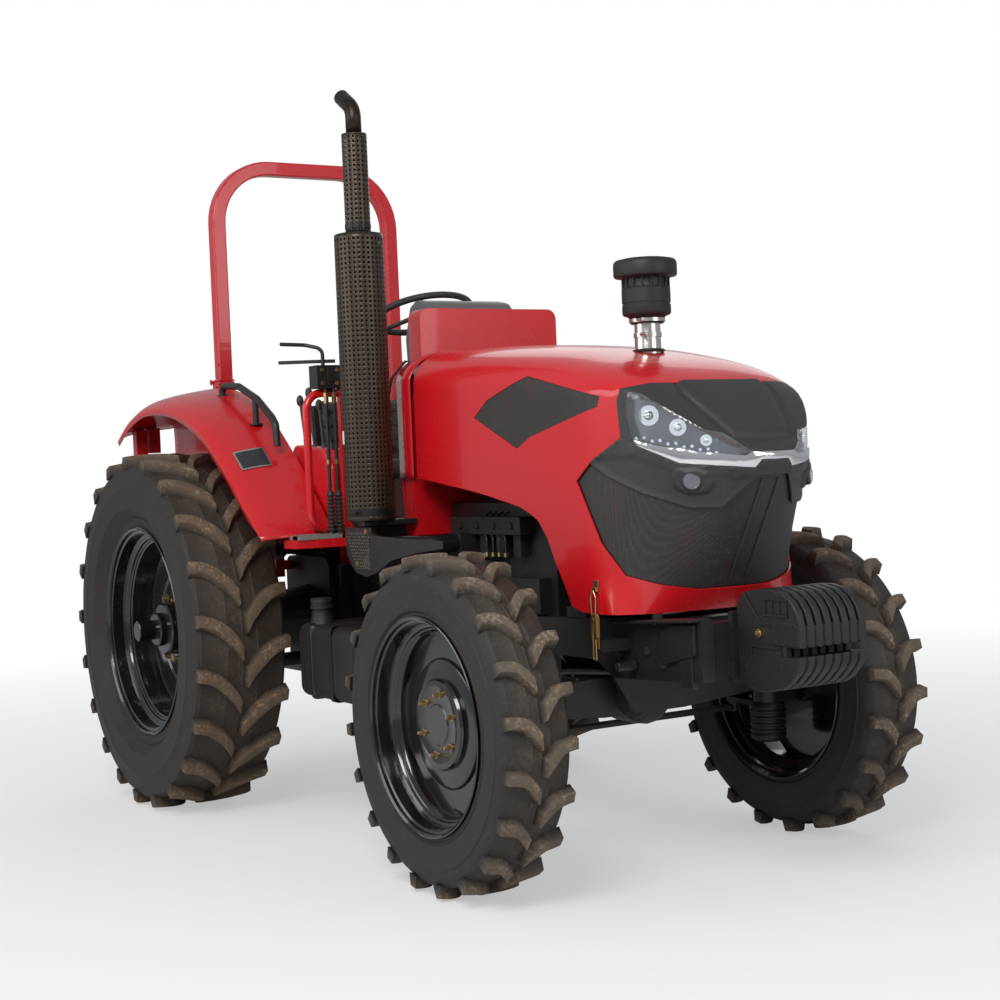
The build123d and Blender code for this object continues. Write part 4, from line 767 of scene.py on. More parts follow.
side_view = View(spot(0, 0, 0), Vector((1, 0, 0)), Vector((0, -1, 0)))
corner_turn = radians(37.0)
corner_view = View(spot(2600, -250, 0), Vector((sin(corner_turn), cos(corner_turn), 0)),
                   Vector((cos(corner_turn), -sin(corner_turn), 0)))


def within(outline, place):
    """True if a flat place lies inside a closed outline."""
    inside = False
    for (x1, y1), (x2, y2) in zip(outline, outline[1:] + outline[:1]):
        if (y1 > place[1]) != (y2 > place[1]) and place[0] < (x2 - x1) * (place[1] - y1) / (y2 - y1) + x1:
            inside = not inside
    return inside


def cut_along(bm, view, outline):
    """Cuts the skin's faces along an outline drawn in a view."""
    for first, second in zip(outline, outline[1:] + outline[:1]):
        start = view.solid(first)
        run = view.solid(second) - start
        length = run.length
        if length < 0.0005:
            continue
        run.normalize()
        near = []
        for face in bm.faces:
            middle = face.calc_center_median() - start
            middle -= view.facing * middle.dot(view.facing)
            reach = middle.dot(run)
            if -0.03 < reach < length + 0.03 and (middle - run * reach).length < 0.03:
                near.append(face)
        if not near:
            continue
        edges = {edge for face in near for edge in face.edges}
        verts = {vert for face in near for vert in face.verts}
        bmesh.ops.bisect_plane(bm, geom=list(verts) + list(edges) + near, dist=0.00005, plane_co=start,
                               plane_no=run.cross(view.facing))


def keep_faces(bm, keep):
    """Deletes every face that a test of its middle doesn't keep."""
    lost = [face for face in bm.faces if not keep(face.calc_center_median())]
    bmesh.ops.delete(bm, geom=lost, context="FACES")


def mirror_left(bm):
    """Adds the left half of a piece drawn on the right."""
    bmesh.ops.mirror(bm, geom=bm.verts[:] + bm.edges[:] + bm.faces[:], matrix=Matrix.Identity(4),
                     merge_dist=0.0004, axis="Y")


def skin_piece(name, bm, material, thickness, edge=0.0012, angle=45.0):
    """A sheet of the hood with a real thickness inwards and rounded seams, which tilts with the hood."""
    bmesh.ops.recalc_face_normals(bm, faces=bm.faces)
    high = max(bm.faces, key=lambda face: face.calc_center_median().length)
    outward = high.normal.dot(high.calc_center_median() - spot(1900, 0, 1200)) > 0
    if not outward:
        bmesh.ops.reverse_faces(bm, faces=bm.faces)
    mesh = bpy.data.meshes.new(name)
    bm.to_mesh(mesh)
    bm.free()
    for face in mesh.polygons:
        face.use_smooth = True
    mesh.materials.append(material)
    piece = bpy.data.objects.new(name, mesh)
    scene.collection.objects.link(piece)
    sheet_wall(piece, thickness)
    rounding = piece.modifiers.new("rounded_seam", "BEVEL")
    rounding.width = edge
    rounding.segments = 2
    rounding.limit_method = "ANGLE"
    rounding.angle_limit = radians(angle)
    rounding.harden_normals = True
    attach(piece, "hood")
    return piece


far = 460.0
cap_edge = [(far, 1533), (108, 1533), (-37, 1535), (-126, 1522), (-139, 1487), (-132, 1375)]
grille_edge = [(-229, 1306), (-275, 1252), (-204, 1063), (-134, 966), (-33, 936), (83, 914), (far, 912)]
lamp_top = [(-94, 1368), (-114, 1442), (-106, 1510), (-68, 1504), (117, 1387), (166, 1379), (250, 1319)]
trim_top = [(-94, 1368), (-16, 1346), (100, 1324), (229, 1308), (250, 1319), (far, 1312)]
fascia_top = [(-94, 1368), (-82, 1349), (40, 1293), (257, 1272), (278, 1295), (far, 1291)]
fascia_foot = [(far, 1251), (262, 1251), (157, 1161), (64, 1164), (-80, 1214), (-166, 1259), (-229, 1306)]
nose_line = cap_edge + grille_edge
cap_line = cap_edge + lamp_top + [(far, 1312)]
lamp_line = lamp_top + trim_top[3:0:-1]
trim_line = trim_top + fascia_top[:0:-1]
fascia_line = [cap_edge[-1]] + fascia_top + fascia_foot
mesh_line = fascia_foot + grille_edge[1:]
vent_line = [(1697, 1471), (1786, 1526), (2025, 1590), (2413, 1504), (2401, 1472), (2039, 1395),
             (1958, 1360)]
arch_line = [(1170, 200), (1170, 1290), (1285, 1277), (1400, 1263), (1517, 1246), (1600, 1236),
             (1683, 1224), (1765, 1211), (1841, 1196), (1905, 1185), (1961, 1173), (2015, 1154),
             (2065, 1130), (2115, 1075), (2153, 1005), (2200, 932), (2242, 865), (2300, 850),
             (3000, 850), (3000, 200)]

skin = hood_skin(150, 110)
cut_along(skin, corner_view, nose_line)
cut_along(skin, side_view, arch_line)
cut_along(skin, side_view, vent_line)
shell = skin.copy()


def on_nose(middle, outline):
    """True for a place of the skin inside an outline of the nose, seen from the front corner."""
    return middle.x > spot(2150, 0, 0).x and within(outline, corner_view.flat(middle))


keep_faces(shell, lambda middle: not (on_nose(middle, nose_line)
                                      or within(arch_line, side_view.flat(middle))
                                      or within(vent_line, side_view.flat(middle))))
mirror_left(shell)
hood = skin_piece("hood_skin", shell, red_paint, 0.005, edge=0.002)
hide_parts("hood_shell")
bm = bmesh.new()
for hand in (-1, 1):
    add_block(bm, spot(1291, hand * 100, 1696), spot(1325, hand * 108, 1728))
new_piece("hood_hinge_ears", bm, black_paint, "hood", bevel=0.001)

nose_master = hood_skin(130, 150, 0.52)
bmesh.ops.recalc_face_normals(nose_master, faces=nose_master.faces)
if sum(face.normal.dot(corner_view.facing) for face in nose_master.faces) < 0:
    bmesh.ops.reverse_faces(nose_master, faces=nose_master.faces)


def nose_part(name, line, inset, material, thickness, shape=None, edge=0.0012, extra=()):
    """One moulding of the nose, cut from the hood's surface by its own outline and set back by inset."""
    part = nose_master.copy()
    cut_along(part, corner_view, line)
    for outline in extra:
        cut_along(part, corner_view, outline)
    keep_faces(part, lambda middle: on_nose(middle, line))
    part.normal_update()
    shifts = []
    for vert in part.verts:
        out = shape(corner_view.flat(vert.co)) - inset if shape else -inset
        move = vert.normal * out / 1000
        if abs(vert.co.y) < 0.0005:
            move.y = 0.0
        shifts.append((vert, move))
    for vert, move in shifts:
        vert.co += move
    mirror_left(part)
    return skin_piece(name, part, material, thickness, edge)


def ramp(value, low, high):
    """0 below low, 1 above high, and a smooth rise between them."""
    share = min(max((value - low) / (high - low), 0.0), 1.0)
    return share * share * (3 - 2 * share)


def line_gap(outline, place):
    """Distance in millimetres from a place to a closed outline, positive inside."""
    nearest = 1e9
    for (x1, y1), (x2, y2) in zip(outline, outline[1:] + outline[:1]):
        run = Vector((x2 - x1, y2 - y1))
        away = Vector((place[0] - x1, place[1] - y1))
        share = min(max(away.dot(run) / run.length_squared, 0.0), 1.0)
        nearest = min(nearest, (away - run * share).length)
    return nearest if within(outline, place) else -nearest


raised_line = [(30, 1560), (55, 1512), (77, 1488), (203, 1366), (289, 1361), (far, 1356), (far, 1560)]
cap = nose_part("nose_cap_moulding", cap_line, 0.0, textured_plastic, 0.006,
                shape=lambda place: 10.0 * ramp(line_gap(raised_line, place), -4.0, 6.0)
                - 5.0 * ramp(-abs(line_gap(raised_line, place)), -16.0, -7.0), extra=(raised_line,))
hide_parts("nose_cap")

trim = nose_part("chrome_strip", trim_line, -1.5, bright_trim, 0.007, edge=0.002,
                 shape=lambda place: 2.5 * ramp(line_gap(trim_line, place), 0.0, 8.0))
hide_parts("chrome_trim")

pod_line = [(14, 1262), (38, 1284), (118, 1270), (142, 1238), (118, 1204), (60, 1200), (20, 1222)]
brow_line = [(-229, 1306), (-132, 1374), (-82, 1349), (40, 1293), (257, 1272), (278, 1295), (far, 1291),
             (far, 1272), (270, 1270), (250, 1246), (38, 1262), (-90, 1316), (-190, 1318)]
fascia = nose_part("nose_fascia_moulding", fascia_line, 2.0, textured_plastic, 0.006, edge=0.0015,
                   shape=lambda place: 9.0 * ramp(line_gap(pod_line, place), -4.0, 8.0)
                   + 5.0 * ramp(line_gap(brow_line, place), -3.0, 5.0)
                   + 4.0 * ramp(-line_gap(fascia_line, place), -10.0, -3.0),
                   extra=(pod_line,))
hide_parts("nose_fascia")

# Grille
# Fine expanded steel mesh behind the fascia, dusty black with a few faint red streaks where paint
# has run. Its openings are not cut: they are painted near-black, a painted shade for the dark seen
# through them. It sits in two halves that meet on the middle line, stretched over the hood's own curve.

mesh_panel = mesh_steel.copy()
mesh_panel.name = "grille_mesh"
tree = mesh_panel.node_tree
where = tree.nodes.new("ShaderNodeTexCoord")
turned_mesh = tree.nodes.new("ShaderNodeMapping")
turned_mesh.inputs["Rotation"].default_value = (0.0, 0.0, radians(45.0))
turned_mesh.inputs["Scale"].default_value = (150.0, 150.0, 150.0)
tree.links.new(where.outputs["Object"], turned_mesh.inputs["Vector"])
cells = tree.nodes.new("ShaderNodeTexVoronoi")
cells.inputs["Scale"].default_value = 1.0
cells.inputs["Randomness"].default_value = 0.15
tree.links.new(turned_mesh.outputs[0], cells.inputs["Vector"])
holes = tree.nodes.new("ShaderNodeMapRange")
holes.inputs["From Min"].default_value = 0.25
holes.inputs["From Max"].default_value = 0.45
tree.links.new(cells.outputs["Distance"], holes.inputs["Value"])
# Painted shade: the middle of each mesh cell is painted near-black, where open mesh would show the dark
# behind it.
painted_hole_shade = tree.nodes.new("ShaderNodeMix")
painted_hole_shade.data_type = "RGBA"
painted_hole_shade.inputs["A"].default_value = (0.010, 0.010, 0.010, 1.0)
tree.links.new(holes.outputs[0], painted_hole_shade.inputs["Factor"])
streaks = tree.nodes.new("ShaderNodeTexNoise")
streaks.inputs["Scale"].default_value = 1.0
streaks.inputs["Detail"].default_value = 3.0
stretched = tree.nodes.new("ShaderNodeMapping")
stretched.inputs["Scale"].default_value = (14.0, 14.0, 3.0)
tree.links.new(where.outputs["Object"], stretched.inputs["Vector"])
tree.links.new(stretched.outputs[0], streaks.inputs["Vector"])
reddish = tree.nodes.new("ShaderNodeMapRange")
reddish.inputs["From Min"].default_value = 0.58
reddish.inputs["From Max"].default_value = 0.78
reddish.inputs["To Max"].default_value = 0.7
tree.links.new(streaks.outputs["Fac"], reddish.inputs["Value"])
streaked = tree.nodes.new("ShaderNodeMix")
streaked.data_type = "RGBA"
streaked.inputs["B"].default_value = (0.10, 0.012, 0.012, 1.0)
tree.links.new(reddish.outputs[0], streaked.inputs["Factor"])
tree.links.new(tree.nodes["worn"].outputs["Color"], streaked.inputs["A"])
tree.links.new(streaked.outputs["Result"], painted_hole_shade.inputs["B"])
tree.links.new(painted_hole_shade.outputs["Result"], tree.nodes["Principled BSDF"].inputs["Base Color"])
net = nose_part("grille_screen", mesh_line, 9.0, mesh_panel, 0.003)
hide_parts("grille")

bm = bmesh.new()
for y in (-30.0, 30.0):
    made = bmesh.ops.create_grid(bm, x_segments=1, y_segments=24, size=0.5)
    for vert in made["verts"]:
        z = 1090.0 + 300.0 * vert.co.y
        x = next(3000.0 - step for step in range(700) if inside_hood(3000.0 - step, y, z, 8.0))
        vert.co = spot(x, y + 7.0 * vert.co.x, z)
ribs = new_piece("grille_ribs", bm, textured_plastic, "hood", angle=60.0)
sheet_wall(ribs, 0.005, offset=0.0)

# The side vent screens take the same mesh finish, with its painted shade in the openings.
vent = skin.copy()
keep_faces(vent, lambda middle: within(vent_line, side_view.flat(middle)) and middle.y < -0.1)
vent.normal_update()
for vert in vent.verts:
    vert.co.y += 0.003
mirror_left(vent)
vents = skin_piece("side_vent_screens", vent, mesh_panel, 0.002)
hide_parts("side_vents")

# Lamps
# A swept headlamp each side behind a clear moulded lens: three round reflectors in a silver tray,
# with a row of small running lamps along the lower edge, and a round fog lamp in the fascia.

lens = nose_part("headlamp_lenses", lamp_line, 0.5, lens_clear, 0.0015)
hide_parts("headlamps")
tray_silver = finish("lamp_silver", (0.13, 0.14, 0.16), 0.25, dust=0.05, shade=0.2, metallic=0.9,
                     patch=12.0)
tray = nose_part("headlamp_trays", lamp_line, 26.0, tray_silver, 0.003)


def corner_point(place, depth):
    """The point of the nose at a flat place of the corner view, set back by depth in millimetres."""
    low = -700.0
    high = 700.0
    start = corner_view.solid(place)
    for step in range(24):
        reach = (low + high) / 2
        point = start + corner_view.facing * reach / 1000
        x = (point.x - rear_axle_x) * 1000
        if inside_hood(x, point.y * 1000, point.z * 1000, 0.0):
            low = reach
        else:
            high = reach
    return start + corner_view.facing * (low - depth) / 1000


bm = bmesh.new()
for hand in (-1, 1):
    for place, radius in (((-45, 1437), 30.0), ((38, 1398), 25.0), ((118, 1357), 17.0)):
        back = corner_point(place, 34.0)
        front_point = back + corner_view.facing * 0.022
        if hand > 0:
            back.y = -back.y
            front_point.y = -front_point.y
        add_rod(bm, back, front_point, radius * 0.55, 24, tip=radius)
        dome = bmesh.ops.create_uvsphere(bm, u_segments=20, v_segments=12, radius=radius * 0.5 / 1000)
        bmesh.ops.translate(bm, verts=dome["verts"], vec=front_point - (front_point - back) * 0.1)
new_piece("headlamp_reflectors", bm, bright_trim, "hood")
led_white = finish("running_lamp_white", (0.75, 0.82, 0.92), 0.15, dust=0.02, shade=0.02)
bm = bmesh.new()
for hand in (-1, 1):
    for number in range(11):
        share = number / 10
        place = (-84 + 230 * share, 1372 - 52 * share + (6 if number % 2 else 0))
        middle = corner_point(place, 8.0)
        outer = middle + corner_view.facing * 0.004
        if hand > 0:
            middle.y = -middle.y
            outer.y = -outer.y
        add_rod(bm, middle, outer, 5.0, 12)
new_piece("running_lamps", bm, led_white, "hood")

for name, material, slot_name, parts in (
    ("fog_lamp_housings", textured_plastic, "nose_plastic",
     ((-34.0, 14.0, 33.0, 30.0), (14.0, 18.0, 30.0, 27.0))),
    ("fog_lamp_bowls", tray_silver, "bright_trim", ((15.0, 18.6, 10.0, 24.0),)),
    ("fog_lamp_lenses", lens_clear, "lamp_lens", ((18.8, 21.5, 25.0, 22.0),)),
):
    bm = bmesh.new()
    for hand in (-1, 1):
        facing = Vector((corner_view.facing.x, -hand * corner_view.facing.y, 0))
        middle = spot(2674, hand * 216, 1241)
        for near, distant, radius, tip in parts:
            add_rod(bm, middle + facing * near / 1000, middle + facing * distant / 1000, radius, 32,
                    tip=tip)
    new_piece(name, bm, material, "hood", bevel=0.0008)

# Silencer and exhaust
# An upright silencer inside a perforated steel heat guard with a bronze tint, a narrower guard
# round the tail pipe, and a sooted slash-cut tip that leans to the rear. A blank label is on the guard.


def perforated_tube(name, foot, radius, low, high, around, rows, border, material):
    """A rolled sheet with rows of small holes, from millimetre sizes; a plain border closes each end."""
    bm = bmesh.new()
    bmesh.ops.create_grid(bm, x_segments=around, y_segments=rows, size=0.5)
    pitch = 2 * pi * radius / 1000 / around
    for vert in bm.verts:
        vert.co = Vector(((vert.co.x + 0.5) * around * pitch, (vert.co.y + 0.5) * rows * pitch, 0.0))
    cells = bm.faces[:]
    bmesh.ops.inset_individual(bm, faces=cells, thickness=pitch * 0.27, use_even_offset=True)
    corners = list({vert for face in cells for vert in face.verts})
    bmesh.ops.bevel(bm, geom=corners, offset=pitch * 0.08, segments=1, profile=0.5, affect="VERTICES",
                    material=-1)
    small = [face for face in bm.faces if len(face.verts) == 8 and face.calc_area() < pitch * pitch * 0.36]
    bmesh.ops.delete(bm, geom=small, context="FACES")
    span = (high - low - 2 * border) / 1000
    stretch = span / (rows * pitch)
    for vert in bm.verts:
        angle = vert.co.x / (radius / 1000)
        rise = low / 1000 + border / 1000 + vert.co.y * stretch
        vert.co = Vector((foot.x + radius / 1000 * cos(angle), foot.y + radius / 1000 * sin(angle), rise))
    bmesh.ops.remove_doubles(bm, verts=bm.verts, dist=0.00002)
    for start, end in ((low, low + border), (high - border, high)):
        made = bmesh.ops.create_cone(bm, cap_ends=False, segments=around, radius1=radius / 1000,
                                     radius2=radius / 1000, depth=(end - start) / 1000)
        bmesh.ops.translate(bm, verts=made["verts"], vec=Vector((foot.x, foot.y, (start + end) / 2000)))
    bmesh.ops.remove_doubles(bm, verts=bm.verts, dist=0.00002)
    tube = new_piece(name, bm, material, "root", angle=50.0)
    sheet_wall(tube, 0.0012)
    return tube


def turn_upright(bm, profile, steps, foot):
    """A body turned about an upright axle, from (radius, height) points in millimetres."""
    ring = [bm.verts.new(foot + Vector((radius, 0.0, height)) / 1000) for radius, height in profile]
    edges = [bm.edges.new(pair) for pair in zip(ring, ring[1:])]
    bmesh.ops.spin(bm, geom=ring + edges, cent=foot, axis=(0, 0, 1), dvec=(0, 0, 0), angle=2 * pi,
                   steps=steps, use_merge=True, use_duplicate=False)
    bmesh.ops.remove_doubles(bm, verts=bm.verts, dist=0.00001)


def rounded_route(points, bend, steps=7):
    """Points along straight runs with round bends of a given radius in millimetres."""
    route = [points[0]]
    for before, corner, after in zip(points, points[1:], points[2:]):
        way_in = (corner - before).normalized()
        way_out = (after - corner).normalized()
        angle = way_in.angle(way_out)
        if angle < 0.02:
            route.append(corner)
            continue
        reach = min(bend / 1000 * abs(sin(angle / 2) / cos(angle / 2)), (corner - before).length * 0.49,
                    (after - corner).length * 0.49)
        radius = reach / (sin(angle / 2) / cos(angle / 2))
        start = corner - way_in * reach
        inward = (way_out - way_in * way_out.dot(way_in)).normalized()
        for step in range(steps + 1):
            part = angle * step / steps
            route.append(start + way_in * radius * sin(part) + inward * radius * (1 - cos(part)))
    route.append(points[-1])
    return route


def sweep(bm, route, radius, sides=16, spin=0.0, cap=True, up=Vector((0, 0, 1))):
    """A tube of equal section along a route in metres, bridged ring by ring."""
    loops = []
    reference = None
    for index, place in enumerate(route):
        before = route[max(index - 1, 0)]
        after = route[min(index + 1, len(route) - 1)]
        way = (after - before).normalized()
        if reference is None:
            side = way.cross(up)
            if side.length < 0.1:
                side = way.cross(Vector((1, 0, 0)))
            reference = side.normalized()
        reference = (reference - way * reference.dot(way)).normalized()
        other = way.cross(reference)
        size = radius / 1000
        if 0 < index < len(route) - 1:
            half_turn = (place - before).angle(after - place) / 2
            size = size / max(cos(half_turn), 0.9)
        frame_turn = Matrix((reference, other, way)).transposed().to_4x4()
        made = bmesh.ops.create_circle(bm, cap_ends=False, segments=sides, radius=size)
        bmesh.ops.transform(bm,
                            matrix=Matrix.Translation(place) @ frame_turn @ Matrix.Rotation(spin, 4, "Z"),
                            verts=made["verts"])
        loops.append(list({edge for vert in made["verts"] for edge in vert.link_edges}))
    for near, distant in zip(loops, loops[1:]):
        bmesh.ops.bridge_loops(bm, edges=near + distant)
    if cap:
        for loop in (loops[0], loops[-1]):
            bmesh.ops.holes_fill(bm, edges=loop)
    return loops


stack_x = 1190
stack_y = -500
stack_foot = spot(stack_x, stack_y, 0)
guard = perforated_tube("silencer_guard_sheet", stack_foot, 87.0, 1135, 2142, 32, 58, 10, guard_steel)
perforated_tube("tail_pipe_guard_sheet", stack_foot, 45.0, 2150, 2500, 17, 20, 6, guard_steel)
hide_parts("silencer_guard")
bm = bmesh.new()
turn_upright(bm, ((0, 1140), (70, 1140), (76, 1150), (76, 2100), (70, 2120), (29, 2128), (29, 2500),
                  (0, 2500)), 40, stack_foot)
turn_upright(bm, ((0, 1136), (86, 1136), (86.5, 1139), (0, 1139)), 48, stack_foot)
turn_upright(bm, ((30, 2142), (86, 2142), (84, 2146), (52, 2153), (45, 2156), (30, 2156)), 48, stack_foot)
new_piece("silencer_body", bm, sooted_steel, "root")
bm = bmesh.new()
turn_upright(bm, ((86.5, 1152), (88.0, 1152), (88.0, 1176), (86.5, 1176)), 48, stack_foot)
turn_upright(bm, ((44.5, 2166), (46.5, 2166), (46.5, 2182), (44.5, 2182)), 32, stack_foot)
clamp_bolt = stack_foot + Vector((0.03, -0.086, 1.164))
add_rod(bm, clamp_bolt, clamp_bolt + Vector((0.032, 0, 0)), 5.0, 12)
new_piece("guard_bands", bm, sooted_steel, "root")

tip_material = finish("tip_steel", (0.022, 0.017, 0.014), 0.32, dust=0.2, shade=0.4, patch=16.0,
                      metallic=0.6, dust_color=(0.10, 0.06, 0.04))
bm = bmesh.new()
tip_route = rounded_route([spot(stack_x, stack_y, 2501), spot(stack_x, stack_y, 2590),
                           spot(1116, -506, 2645)], 60.0, 10)
sweep(bm, tip_route, 28.0, 28, cap=False)
tip = new_piece("slash_cut_tip", bm, tip_material, "root", angle=50.0)
sheet_wall(tip, 0.0025)
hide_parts("exhaust_tip")

label_paper = finish("label_paper", (0.78, 0.76, 0.72), 0.5, dust=0.1, shade=0.1)
bm = bmesh.new()
bmesh.ops.create_grid(bm, x_segments=8, y_segments=1, size=0.5)
for vert in bm.verts:
    angle = radians(-108.0 + 26.0 * vert.co.x)
    vert.co = stack_foot + Vector((0.0878 * cos(angle), 0.0878 * sin(angle), 1.430 + 0.046 * vert.co.y))
new_piece("guard_label", bm, label_paper, "root")

# Air intake
# A centrifugal pre-cleaner in black plastic on a polished steel pipe through the hood, held by a
# band clamp. Its cap overhangs the finned bowl, and it tilts away with the hood.

intake_foot = spot(2200, 0, 0)
bm = bmesh.new()
turn_upright(bm, ((42, 1600), (42, 1690), (41.5, 1692), (41.5, 1742), (44, 1744), (44, 1760)), 48,
             intake_foot)
pipe = new_piece("intake_pipe", bm, stainless, "hood")
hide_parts("air_precleaner")
bm = bmesh.new()
turn_upright(
    bm,
    (
        (38, 1741), (52, 1741), (55, 1745), (56, 1758), (62, 1764), (74, 1768), (78, 1774), (78, 1800),
        (76, 1802), (76, 1806), (78, 1808), (78, 1852), (74, 1856), (72, 1862), (72, 1882), (80, 1888),
        (98, 1890), (101, 1893), (102, 1899), (102, 1930), (100, 1938), (94, 1944), (70, 1949),
        (30, 1951), (0, 1951.5),
    ),
    64, intake_foot,
)
for number in range(16):
    way = 2 * pi * number / 16
    out = Vector((cos(way), sin(way), 0))
    add_rod(bm, intake_foot + out * 0.0745 + Vector((0, 0, 1.809)),
            intake_foot + out * 0.0745 + Vector((0, 0, 1.886)), 3.6, 8)
new_piece("precleaner_bowl", bm, tank_plastic, "hood", angle=40.0)
bm = bmesh.new()
turn_upright(bm, ((42, 1698), (45, 1698), (45, 1712), (42, 1712)), 48, intake_foot)
turn_upright(bm, ((55, 1746), (58, 1746), (58, 1757), (55, 1757)), 48, intake_foot)
add_rod(bm, intake_foot + Vector((0.030, -0.050, 1.705)), intake_foot + Vector((0.062, -0.050, 1.705)),
        5.0, 12)
add_rod(bm, intake_foot + Vector((0.030, -0.062, 1.7515)), intake_foot + Vector((0.062, -0.062, 1.7515)),
        5.0, 12)
new_piece("intake_clamps", bm, stainless, "hood")
collar = bmesh.new()
hood_top = 1651.0
turn_upright(collar, ((42, hood_top), (52, hood_top), (54, hood_top + 4), (50, hood_top + 8),
                      (42, hood_top + 10)), 40, intake_foot)
new_piece("intake_grommet", collar, rubber, "hood")

# Roll-over hoop
# A hoop of square steel tube in red enamel, bent in one piece. It folds to the rear about a pin at
# each foot, between plates welded to the posts behind the seat.

hoop_out = 415
hoop_foot = 1718.2
hoop_top = 2640
hoop_points = [spot(-290, -hoop_out, hoop_foot), spot(-290, -hoop_out, hoop_top),
               spot(-290, hoop_out, hoop_top), spot(-290, hoop_out, hoop_foot)]
bm = bmesh.new()
sweep(bm, rounded_route(hoop_points, 245.0, 12), 30.0 * 2 ** 0.5, 4, spin=pi / 4, up=Vector((1, 0, 0)))
hoop = new_piece("roll_over_hoop", bm, red_paint, "rops_hoop", angle=30.0, bevel=0.007,
                 segments=3)
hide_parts("rops_hoop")
bm = bmesh.new()
for hand in (-1, 1):
    for offset in (-9.0, 0.0):
        near = spot(-352, hand * (hoop_out + offset), 1700)
        add_block(bm, near, near + Vector((0.034, hand * 0.009, 0.062)))
    add_block(bm, spot(-322, hand * 380, 1719), spot(-258, hand * 450, 1727))
    add_rod(bm, spot(-270, hand * 447, 1790), spot(-270, hand * 450, 1790), 9.0, 6)
new_piece("hoop_feet", bm, red_paint, "rops_hoop", bevel=0.0015)
bm = bmesh.new()
for hand in (-1, 1):
    add_block(bm, spot(-324, hand * 381, 1704), spot(-256, hand * 449, 1717))
    add_block(bm, spot(-320, hand * 445.3, 1620), spot(-260, hand * 453, 1712))
    for height in (1640, 1690):
        add_rod(bm, spot(-290, hand * 453, height), spot(-290, hand * 459, height), 10.0, 6)
    add_rod(bm, spot(-342, hand * 380, 1718), spot(-342, hand * 452, 1718), 7.8, 20)
    add_rod(bm, spot(-342, hand * 452, 1718), spot(-342, hand * 456, 1718), 13.0, 20)
new_piece("hoop_hinge_plates", bm, red_paint, "root", bevel=0.0015)

# Fenders
# Wide pressed steel arches over the rear wheels with a rolled outer lip, in red enamel. A black
# grab handle is bolted to each crown, and a blank data plate sits on the front of the right one.

fender_arch = ((905, 1075), (820, 1150), (730, 1222), (640, 1297), (550, 1362), (460, 1424), (370, 1478),
               (265, 1524), (160, 1558), (50, 1582), (-65, 1596), (-180, 1598), (-290, 1590),
               (-450, 1548), (-580, 1482))
fender_rise = ((520.0, 85.0), (600.0, 74.0), (700.0, 55.0), (750.0, 38.0), (780.0, 22.0), (794.0, 8.0),
               (800.0, 0.0))
axle_height = rear_wheel_radius


def fender_point(share, y, hand, lift=0.0):
    """A point of the fender's crown: share along its arch from the front, y out from the middle."""
    knots = [(float(number),) + knot for number, knot in enumerate(fender_arch)]
    at = share * (len(fender_arch) - 1)
    x = smooth_between(knots, at, 1)
    z = smooth_between(knots, at, 2)
    rise = smooth_between(fender_rise, y, 1) + lift
    reach = hypot(x, z - axle_height)
    grow = 1 + rise * max(0.0, (z - axle_height) / reach) / reach
    return spot(x * grow, hand * y, axle_height + (z - axle_height) * grow)


for hand, word in ((-1, "right"), (1, "left")):
    bm = bmesh.new()
    rows = (("lip", 24.0), ("lip", 8.0), 799.0, 796.0, 790.0, 780.0, 765.0, 745.0, 720.0, 690.0, 650.0,
            610.0, 570.0, 540.0, 524.0, ("wall", 0.12), ("wall", 0.5), ("wall", 1.0))
    columns = 56
    made = bmesh.ops.create_grid(bm, x_segments=columns, y_segments=len(rows) - 1, size=0.5)
    for vert in made["verts"]:
        share = vert.co.x + 0.5
        row = rows[round((vert.co.y + 0.5) * (len(rows) - 1))]
        if isinstance(row, tuple) and row[0] == "lip":
            place = fender_point(share, 800.0, hand)
            centre = spot(0, hand * 800, axle_height)
            inward = (centre - place).normalized()
            vert.co = place + inward * row[1] / 1000 * ramp(share, 0.0, 0.08)
        elif isinstance(row, tuple):
            place = fender_point(share, 520.0, hand)
            foot_height = 1.0705
            vert.co = Vector((place.x, place.y, place.z + (foot_height - place.z) * row[1]))
        else:
            vert.co = fender_point(share, row, hand)
    bmesh.ops.remove_doubles(bm, verts=bm.verts, dist=0.0001)
    bmesh.ops.recalc_face_normals(bm, faces=bm.faces)
    over_wheel = fender_point(0.75, 680.0, hand)
    crown = min(bm.faces, key=lambda face: (face.calc_center_median() - over_wheel).length)
    if crown.normal.z < 0:
        bmesh.ops.reverse_faces(bm, faces=bm.faces)
    mesh = bpy.data.meshes.new("fender_" + word)
    bm.to_mesh(mesh)
    bm.free()
    for face in mesh.polygons:
        face.use_smooth = True
    mesh.set_sharp_from_angle(angle=radians(38))
    mesh.materials.append(red_paint)
    fender = bpy.data.objects.new("pressed_fender_" + word, mesh)
    scene.collection.objects.link(fender)
    sheet_wall(fender, 0.004)
    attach(fender, "root")
    if hand < 0:
        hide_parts("fenders")

    bm = bmesh.new()
    y = hand * 600
    handle = rounded_route(
        [spot(130, y, 1612), spot(130, y, 1676), spot(300, y, 1664), spot(470, y, 1606), spot(600, y, 1530),
         spot(632, y, 1500), spot(640, y, 1418)], 36.0, 6)
    sweep(bm, handle, 14.0, 20)
    foot_point = fender_point(0.39, 600.0, hand)
    add_rod(bm, foot_point, foot_point + Vector((0, 0, 0.10)), 12.0, 16)
    add_rod(bm, foot_point, foot_point + Vector((0, 0, 0.006)), 26.0, 24)
    add_rod(bm, spot(130, y, 1628), spot(130, y, 1640), 24.0, 24)
    rail = new_piece("fender_grab_handle_" + word, bm, black_paint, "root")
    if hand < 0:
        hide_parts("fender_handles")

